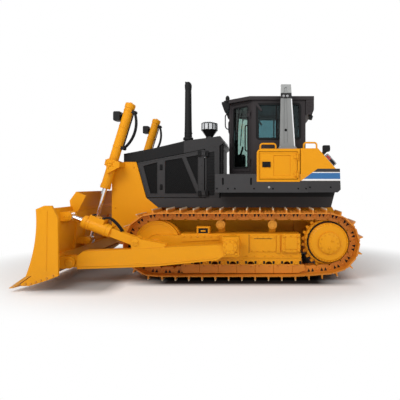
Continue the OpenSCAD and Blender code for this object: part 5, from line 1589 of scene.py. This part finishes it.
class DOZER_OT_cab_trim(bpy.types.Operator):
    """Add the window seals, struts, wipers, handles, mirror rods and roof edge of the cab"""

    bl_idname = "dozer.cab_trim"
    bl_label = "Cab trim"

    def execute(self, context):
        self.seals()
        self.fittings()
        self.roof()
        return {"FINISHED"}

    def seals(self):
        """Rubber round every pane, on the walls and on the doors."""
        side = [pane_frame(SIDE_PANE, 0.030, sizes().side_seal, 0.070, (0, CAB_HALF - 0.001, 0), Z, X)]
        side.append(plate_on(rect(1.356, 2.575, 1.386, 3.195), 0.799, 0.012))
        pair("side_seals", side, "rubber", "tractor")
        strut = bars(
            side_points([(0.968, 3.250)], CAB_HALF), side_points([(1.090, 3.080)], CAB_HALF), Y, 0.040, 0.014
        )
        pair("window_struts", [strut], "cab", "tractor")
        leaf = [pane_frame(DOOR_PANE, 0.018, sizes().door_seal, 0.050, on_door(0, 0, -0.001), Z, DOOR_ALONG)]
        pair("door_seals", leaf, "rubber", "cab_door_{}_leaf")
        front = pane_frame(FRONT_PANE, 0.024, sizes().end_seal, 0.055, (NOSE[0] + 0.001, 0, 0), Z, Y)
        rear = pane_frame(REAR_PANE, 0.024, sizes().end_seal, 0.055, (1.919, 0, 0), Y, Z)
        put("end_seals", [front, rear], FINISH["rubber"], "tractor")

    def fittings(self):
        """Wipers, grab handles with their locks, and the mirror rods."""
        pivot, tip = on_door(0.300, 3.165, 0.009), on_door(0.230, 2.790, -0.019)
        sweep = wiper(pivot, tip, 0.22 * Z + 0.02 * DOOR_ALONG, DOOR_OUT)
        bends = (
            ((2.330, 0.001), (2.330, 0.055), (2.390, 0.055)),
            ((2.760, 0.055), (2.820, 0.055), (2.820, 0.001)),
        )
        grip = np.concatenate([arc(*(on_door(0.480, z, away) for z, away in bend)) for bend in bends])
        pair("door_wipers", sweep, "rubber", "cab_door_{}_leaf")
        key = [
            lathe([(0.016, 0), (0.016, 0.006), (0.010, 0.010)], on_door(0.093, 2.400, -0.0005), DOOR_OUT, 18)
        ]
        pair(
            "door_handles", [tube(grip, 0.012, 12, DOOR_ALONG)] + key, "plastic", "cab_door_{}_leaf",
        )
        front = wiper((0.440, 0.0, 2.050), (0.4585, 0.10, 2.560), 0.26 * Z + 0.06 * Y, -X)
        back = wiper((1.921, 0.10, 2.420), (1.9015, 0.22, 2.640), 0.18 * Z + 0.10 * Y, X)
        put("end_wipers", front + back, FINISH["rubber"], "tractor")
        foot, head = np.array([0.4405, 0.375, 2.800]), np.array([0.4405, 0.375, 3.110])
        low = arc(foot, foot - [0.085, 0, 0], foot + [-0.085, 0, 0.090])
        high = arc(head - [0.085, 0, 0.06], head - [0.085, 0, 0], head)
        rod = np.concatenate([low, high])
        pads = [lathe([(0.022, 0), (0.022, 0.008), (0.014, 0.012)], p, -X, 16) for p in (foot, head)]
        pair("mirror_rods", [tube(rod, 0.011, 12)] + pads, "plastic", "tractor")

    def roof(self):
        """Gutter lip, roof bolts, the hatch on top and the louvres of the air conditioner."""
        half_edge = np.array([(0.330, -0.460), (0.860, -0.860), (2.075, -0.860)])
        edge = np.concatenate([half_edge, half_edge[::-1] * [1, -1]])
        hatch_lid = slab(rounded(0.62, 0.74, 0.06), (1.20, 0, 3.344), X, Y, 0.030, 0.010)
        top = copies(bolt(0.014), [(x, y, 3.345) for x in (0.95, 1.30, 1.95) for y in (-0.78, 0.78)], Z)
        lip = frame_ring(edge * 0.998 + [0.0024, 0], 0.030, (0, 0, 3.344), X, Y, 0.012, 0.004)
        rows = [
            slab(rounded(1.30, 0.022, 0.006), (2.0755, 0, z), Y, Z, 0.008, 0.003)
            for z in np.linspace(3.13, 3.27, 5)
        ]
        sides = [
            plate_on(rounded(0.095, 0.016, 0.004) + [2.000, z], 0.8495, 0.006, 0.002)
            for z in np.linspace(3.07, 3.24, 6)
        ]
        sides += [flip(s) for s in sides]
        put("roof_trim", [hatch_lid, top, lip] + rows + sides, FINISH["cab"], "tractor")


# Seat and controls


def pillow(low, high, corner, crown, steps=9):
    """A cushion between two corners: a rounded outline drawn in and raised along half an ellipse at its rim.

    At the angle t from -90 to 90 degrees the outline is drawn in by crown * (1 - cos t) and lies at the
    height middle + half * sin t.
    """
    low, high = np.asarray(low, float), np.asarray(high, float)
    size = high - low
    outline = rounded(size[0], size[1], corner, 7)
    t = np.linspace(-math.pi / 2, math.pi / 2, steps)
    layers = [inset(outline, crown * (1 - math.cos(a))) for a in t]
    heights = np.sin(t) * size[2] / 2
    flat = np.stack(layers) + (low[:2] + high[:2]) / 2
    rise = np.broadcast_to((heights + (low[2] + high[2]) / 2)[:, None, None], (*flat.shape[:2], 1))
    return rings(np.concatenate([flat, rise], -1))


def points_of(mesh):
    """The places of a mesh's vertices as an array."""
    place = np.empty(len(mesh.vertices) * 3, np.float32)
    mesh.vertices.foreach_get("co", place)
    return place.reshape(-1, 3).astype(float)


def stuffed(piece, reach, seams, axis):
    """Swells a cushion by a cloth simulation under pressure, then sews its channels.

    Each point stays within the reach of where it began. A seam at s presses the points in along the axis by
    7 mm * exp(-((p - s) / 9 mm)^2), p being the place across the seams.
    """
    scene = bpy.context.scene
    net = piece.modifiers.new("net", "REMESH")
    net.mode = "VOXEL"
    net.voxel_size = 0.010
    sheet = bpy.data.meshes.new_from_object(piece.evaluated_get(bpy.context.evaluated_depsgraph_get()))
    piece.modifiers.remove(net)
    sheet.name = piece.data.name
    piece.data = sheet
    sheet.polygons.foreach_set("use_smooth", np.ones(len(sheet.polygons), bool))
    start = points_of(sheet)
    soft = piece.modifiers.new("cloth", "CLOTH")
    soft.settings.use_pressure = True
    soft.settings.uniform_pressure_force = 4.0
    soft.settings.effector_weights.gravity = 0.0
    for step in range(1, 21):
        scene.frame_set(step)
    swollen = points_of(piece.evaluated_get(bpy.context.evaluated_depsgraph_get()).data)
    piece.modifiers.remove(soft)
    scene.frame_set(1)
    moved = swollen - start
    far = np.linalg.norm(moved, axis=1, keepdims=True)
    place = start + moved * np.minimum(1.0, reach / np.maximum(far, 1e-9))
    middle = (place.max(0) + place.min(0)) / 2
    press = 0.007 * np.exp(-(((place[:, 1, None] - seams) / 0.009) ** 2)).sum(1)
    place[:, axis] -= np.sign(place[:, axis] - middle[axis]) * press
    sheet.vertices.foreach_set("co", place.astype(np.float32).ravel())
    sheet.update()


class DOZER_OT_seat(bpy.types.Operator):
    """Put the stuffed seat on its pedestal: cushion, back and headrest with sewn channels"""

    bl_idname = "dozer.seat"
    bl_label = "Seat"

    def execute(self, context):
        pads = (
            ("seat_cushion", (1.196, -0.256, 2.194), (1.664, 0.256, 2.306), 0.07, (-0.13, 0.13), 2, 0.010),
            ("seat_back", (1.592, -0.246, 2.334), (1.706, 0.246, 2.778), 0.05, (-0.12, 0.12), 0, 0.010),
            ("seat_headrest", (1.600, -0.150, 2.806), (1.700, 0.150, 2.948), 0.04, (), 0, 0.008),
        )
        for name, low, high, corner, seams, axis, reach in pads:
            piece = put(
                name, [pillow(low, high, corner, 0.030)], FINISH["cloth"], "tractor", 60
            )
            stuffed(piece, reach, np.array(seams, float).reshape(1, -1), axis)
            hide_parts("operator_seat")
        foot = slab(rounded(0.30, 0.34, 0.03), (1.40, 0, 1.878), X, Y, 0.060, 0.010)
        bellows = lathe(
            [(0.150 - 0.018 * (k % 2), 0.055 + 0.022 * k) for k in range(11)],
            (1.40, 0, 1.878), Z, 32
        )
        pan = slab(rounded(0.44, 0.46, 0.05), (1.43, 0, 2.150), X, Y, 0.036, 0.012)
        stems = [tube([(1.65, y, 2.74), (1.65, y, 2.83)], 0.009, 10) for y in (-0.07, 0.07)]
        stand = put("seat_stand", [foot, bellows, pan] + stems, FINISH["plastic"], "tractor")
        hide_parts("operator_seat")
        return {"FINISHED"}


class DOZER_OT_controls(bpy.types.Operator):
    """Set the levers, the arm pads, the monitor and the pedals at the operator's place"""

    bl_idname = "dozer.controls"
    bl_label = "Controls"

    def execute(self, context):
        stick = [
            (0.034, 0), (0.030, 0.014), (0.011, 0.030), (0.010, 0.085), (0.022, 0.100), (0.026, 0.150),
            (0.014, 0.185)
        ]
        levers = [lathe(stick, (1.215, 0.42, 2.440), Z + 0.12 * X, 20)]
        levers += [
            tube([(1.30, 0.385 + 0.05 * k, 2.440), (1.30, 0.385 + 0.05 * k, 2.52)], 0.006, 8)
            for k in range(2)
        ]
        pair("levers", levers, "plastic", "tractor")
        rest = pillow((1.340, 0.370, 2.441), (1.550, 0.470, 2.490), 0.03, 0.016)
        for side, sign in SIDES:
            shape = rest if sign > 0 else flip(rest)
            piece = put("arm_pad_" + side, [shape], FINISH["cloth"], "tractor", 60)
        lean = np.array([0.30, 0, 0.954])
        stalk = tube([(0.655, 0.130, 2.300), (0.650, 0.130, 2.345)], 0.014, 12)
        case = slab(rounded(0.17, 0.25, 0.02), (0.640, 0.130, 2.385), Y, lean, 0.030, 0.008)
        dials = [
            lathe([(0.034, 0), (0.034, 0.006), (0.028, 0.010)], (0.660, y, 2.300), Z, 24)
            for y in (-0.20, -0.11, -0.02)
        ]
        put("monitor", [case, stalk] + dials, FINISH["plastic"], "tractor")
        tread = [
            slab(rounded(0.10, 0.07, 0.012), (0.800, y, 1.955), Z + 0.5 * X, Y, 0.014, 0.004)
            for y in (-0.14, 0.14)
        ]
        arms = [tube([(0.740, y, 1.905), (0.785, y, 1.955)], 0.010, 8) for y in (-0.14, 0.14)]
        put("pedals", tread + arms, FINISH["plastic"], "tractor")
        return {"FINISHED"}


# Roll-over frame, boxes, tank, platform and lamps


SIDE_Y = 1.150


class DOZER_OT_rollover(bpy.types.Operator):
    """Bolt the roll-over posts: bright bolts in the black band, foot bolts and a dark disc of painted shade
    for the groove's drain hole
    """

    bl_idname = "dozer.rollover"
    bl_label = "Roll-over frame"

    def execute(self, context):
        band = side_bolts(0.024, [(1.492, 3.312), (1.562, 3.312)], 1.040)
        pair("band_bolts", [band], "steel", "tractor")
        feet = copies(bolt(0.022), [(x, 1.052, 2.376) for x in (1.43, 1.695)], Z)
        pair("foot_bolts", [feet], "steel", "tractor")
        # A dark disc of painted shade for the drain hole in the post's groove.
        hole = lathe([(0.024, 0), (0.024, 0.004), (0.015, 0.006)], (1.532, 1.026, 2.690), Y, 20)
        pair("groove_hole_shade", [hole], "mesh", "tractor")
        return {"FINISHED"}


class DOZER_OT_side_boxes(bpy.types.Operator):
    """Fit the latch, lips, gauge, caps, bolts and tail lamps of the locker and the tanks"""

    bl_idname = "dozer.side_boxes"
    bl_label = "Boxes and tank"

    def execute(self, context):
        self.locker()
        self.tops()
        self.tail()
        return {"FINISHED"}

    def locker(self):
        """The door's winged latch and lip, the same lip on the hydraulic tank's side, and its gauge."""
        wings = [
            plate_on(rounded(0.052, 0.052, 0.018) + [1.175 + dx, 2.050 + dz], 1.1615, 0.010, 0.003)
            for dx in (-0.045, 0.045) for dz in (-0.022, 0.022)
        ]
        knob = lathe([(0.022, 0), (0.022, 0.012), (0.014, 0.016)], (1.175, 1.1615, 2.050), Y, 20)
        lip = lip_on(rect(1.060, 1.798, 1.718, 2.266), 0.012, SIDE_Y - 0.0005, 0.006)
        put(
            "locker_latch", [flip(s) for s in wings + [knob]], FINISH["plastic"], "locker_door_leaf",
        )
        put("locker_lip", [flip(lip)], FINISH["yellow"], "locker_door_leaf")
        put("tank_panel_lip", [lip], FINISH["yellow"], "tractor")
        gauge = plate_on(rounded(0.040, 0.160, 0.012) + [1.150, 2.020], SIDE_Y - 0.0005, 0.012, 0.004)
        put("level_gauge", [gauge], FINISH["lens"], "tractor")

    def tops(self):
        """Filler caps, the breather and the bolts along the tops."""
        knurl = [
            (0.070, 0.0), (0.074, 0.006), (0.066, 0.012), (0.040, 0.018), (0.020, 0.030), (0.006, 0.032)
        ]
        caps = [lathe(knurl, (1.200, 0.950, 2.384), Z, 36), lathe(knurl, (2.025, 0.600, 2.391), Z, 36)]
        breather = lathe(
            [(0.030, 0), (0.030, 0.020), (0.044, 0.026), (0.044, 0.052), (0.018, 0.062)],
            (1.36, 0.90, 2.335), Z, 24
        )
        put("filler_caps", caps + [breather], FINISH["plastic"], "tractor")
        bolts = copies(bolt(0.013), [(x, 1.105, 2.336) for x in (1.05, 1.73)], Z)
        pair("box_bolts", [bolts], "yellow", "tractor")

    def tail(self):
        """Two round lamps in a pale rim on each slope of the tank, and the red glass at its side."""
        start, stop = np.array([2.228, 0, 2.2021]), np.array([2.390, 0, 2.0165])
        along = (stop - start) / np.linalg.norm(stop - start)
        out = np.array([along[2], 0, -along[0]]) * -1.0
        middle = (start + stop) / 2 + 0.075 * out + [0, 1.060, 0]
        rim = frame_ring(rounded(0.236, 0.112, 0.020), 0.016, middle - 0.004 * out, along, Y, 0.010, 0.003)
        beside = (start + stop) / 2 + 0.0375 * out + [0, 1.1195, 0]
        edge = frame_ring(rounded(0.073, 0.236, 0.014), 0.012, beside, out, along, 0.006, 0.002)
        pair("tail_rims", [rim, edge], "steel", "tractor")
        upper = slab(rounded(0.046, 0.096, 0.010), beside - 0.056 * along, out, along, 0.004, 0.002)
        pair("side_lenses", [upper], "red", "tractor")
        lens = [(0.042, 0), (0.042, 0.008), (0.034, 0.014), (0.016, 0.018), (0.003, 0.019)]
        places = (middle - 0.056 * along, middle + 0.056 * along)
        pair(
            "tail_lenses", [lathe(lens, places[0] - 0.001 * out, out, 24)], "red", "tractor"
        )
        pair(
            "turn_lenses", [lathe(lens, places[1] - 0.001 * out, out, 24)], "lens", "tractor"
        )


class DOZER_OT_platform(bpy.types.Operator):
    """Fix the platform: side bolts, slots as dark plates of painted shade, a bright plug and tread bars"""

    bl_idname = "dozer.platform"
    bl_label = "Platform"

    def execute(self, context):
        size = sizes().deck_bolt
        spots = [(x, 1.615) for x in (0.280, 0.480, 0.606, 0.951, 1.293, 1.750, 1.890)]
        pair("deck_bolts", [side_bolts(size, spots, SIDE_Y)], "mesh", "tractor")
        rear = [(x, 1.640) for x in (1.960, 2.334)]
        pair("tank_bolts", [side_bolts(size, rear, SIDE_Y)], "mesh", "tractor")
        # The slots are dark plates of painted shade.
        slots = [slot_shade_on(rounded(0.034, 0.130, 0.016) + [x, 1.747], SIDE_Y) for x in (0.390, 0.897)]
        pair("deck_slot_shade", slots, "mesh", "tractor")
        plug = lathe([(0.020, 0), (0.020, 0.006), (0.012, 0.010)], (1.222, SIDE_Y, 1.640), Y, 20)
        pair("deck_plugs", [plug], "steel", "tractor")
        rows = [(x, 1.878) for x in np.arange(0.34, 0.96, 0.045)]
        tread = bars(side_points(rows, 0.90), side_points(rows, 1.12), Z, 0.012, 0.005)
        pair("deck_tread", [tread], "deck", "tractor")
        return {"FINISHED"}


class DOZER_OT_lamps(bpy.types.Operator):
    """Put rims and ribbed glass on the work lamps"""

    bl_idname = "dozer.lamps"
    bl_label = "Lamps"

    def execute(self, context):
        face = np.array([-0.076, 0, 0.206]) / math.hypot(0.076, 0.206)
        roof = (0.325, 0.357, 3.233), face, Y, 0.180, 0.160
        stalk = (2.320, 1.060, 2.345), Y, Z, 0.120, 0.085
        self.lamp("roof_lamp", *roof, "tractor")
        self.lamp("stalk_lamp", *stalk, "tractor")
        return {"FINISHED"}

    def lamp(self, name, at, u, v, high, wide, body):
        """A bevelled rim and the glass inside it, on a face spanned by u and v."""
        at = np.asarray(at, float)
        n = np.cross(u, v)
        rim = frame_ring(rounded(high, wide, 0.020), 0.014, at - 0.001 * n, u, v, 0.012, 0.003)
        glass = slab(rounded(high - 0.024, wide - 0.024, 0.012), at - 0.001 * n, u, v, 0.007, 0.003)
        pair(name + "_rims", [rim], "plastic", body)
        pair(name + "_lenses", [glass], "lens", body)


class DOZER_PT_pieces(bpy.types.Panel):
    """Lists the steps that dress the bulldozer, with its colours and sizes"""

    bl_idname = "DOZER_PT_pieces"
    bl_label = "Bulldozer"
    bl_space_type = "VIEW_3D"
    bl_region_type = "UI"
    bl_category = "Bulldozer"

    def draw(self, context):
        for step in STEPS:
            self.layout.operator("dozer." + step)
        for kept in (colours(), sizes()):
            for key in kept.__annotations__:
                self.layout.prop(kept, key)


CLASSES = (
    DozerColours,
    DozerSizes,
    DOZER_OT_finishes,
    DOZER_OT_studio,
    DOZER_OT_chains,
    DOZER_OT_undercarriage,
    DOZER_OT_blade,
    DOZER_OT_push_arms,
    DOZER_OT_cylinders,
    DOZER_OT_engine_doors,
    DOZER_OT_hood,
    DOZER_OT_stack,
    DOZER_OT_cab_trim,
    DOZER_OT_seat,
    DOZER_OT_controls,
    DOZER_OT_rollover,
    DOZER_OT_side_boxes,
    DOZER_OT_platform,
    DOZER_OT_lamps,
    DOZER_PT_pieces,
)
STEPS = (
    "studio", "finishes", "chains", "undercarriage", "blade", "push_arms", "cylinders", "engine_doors",
    "hood", "stack", "cab_trim", "seat", "controls", "rollover", "side_boxes", "platform", "lamps",
)


def register():
    for made in CLASSES:
        bpy.utils.register_class(made)
    bpy.types.Scene.dozer_colours = bpy.props.PointerProperty(type=DozerColours)
    bpy.types.Scene.dozer_sizes = bpy.props.PointerProperty(type=DozerSizes)


def unregister():
    del bpy.types.Scene.dozer_sizes
    del bpy.types.Scene.dozer_colours
    for made in reversed(CLASSES):
        bpy.utils.unregister_class(made)


def main():
    """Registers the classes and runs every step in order."""
    register()
    for step in STEPS:
        getattr(bpy.ops.dozer, step)()


if __name__ == "__main__":
    main()
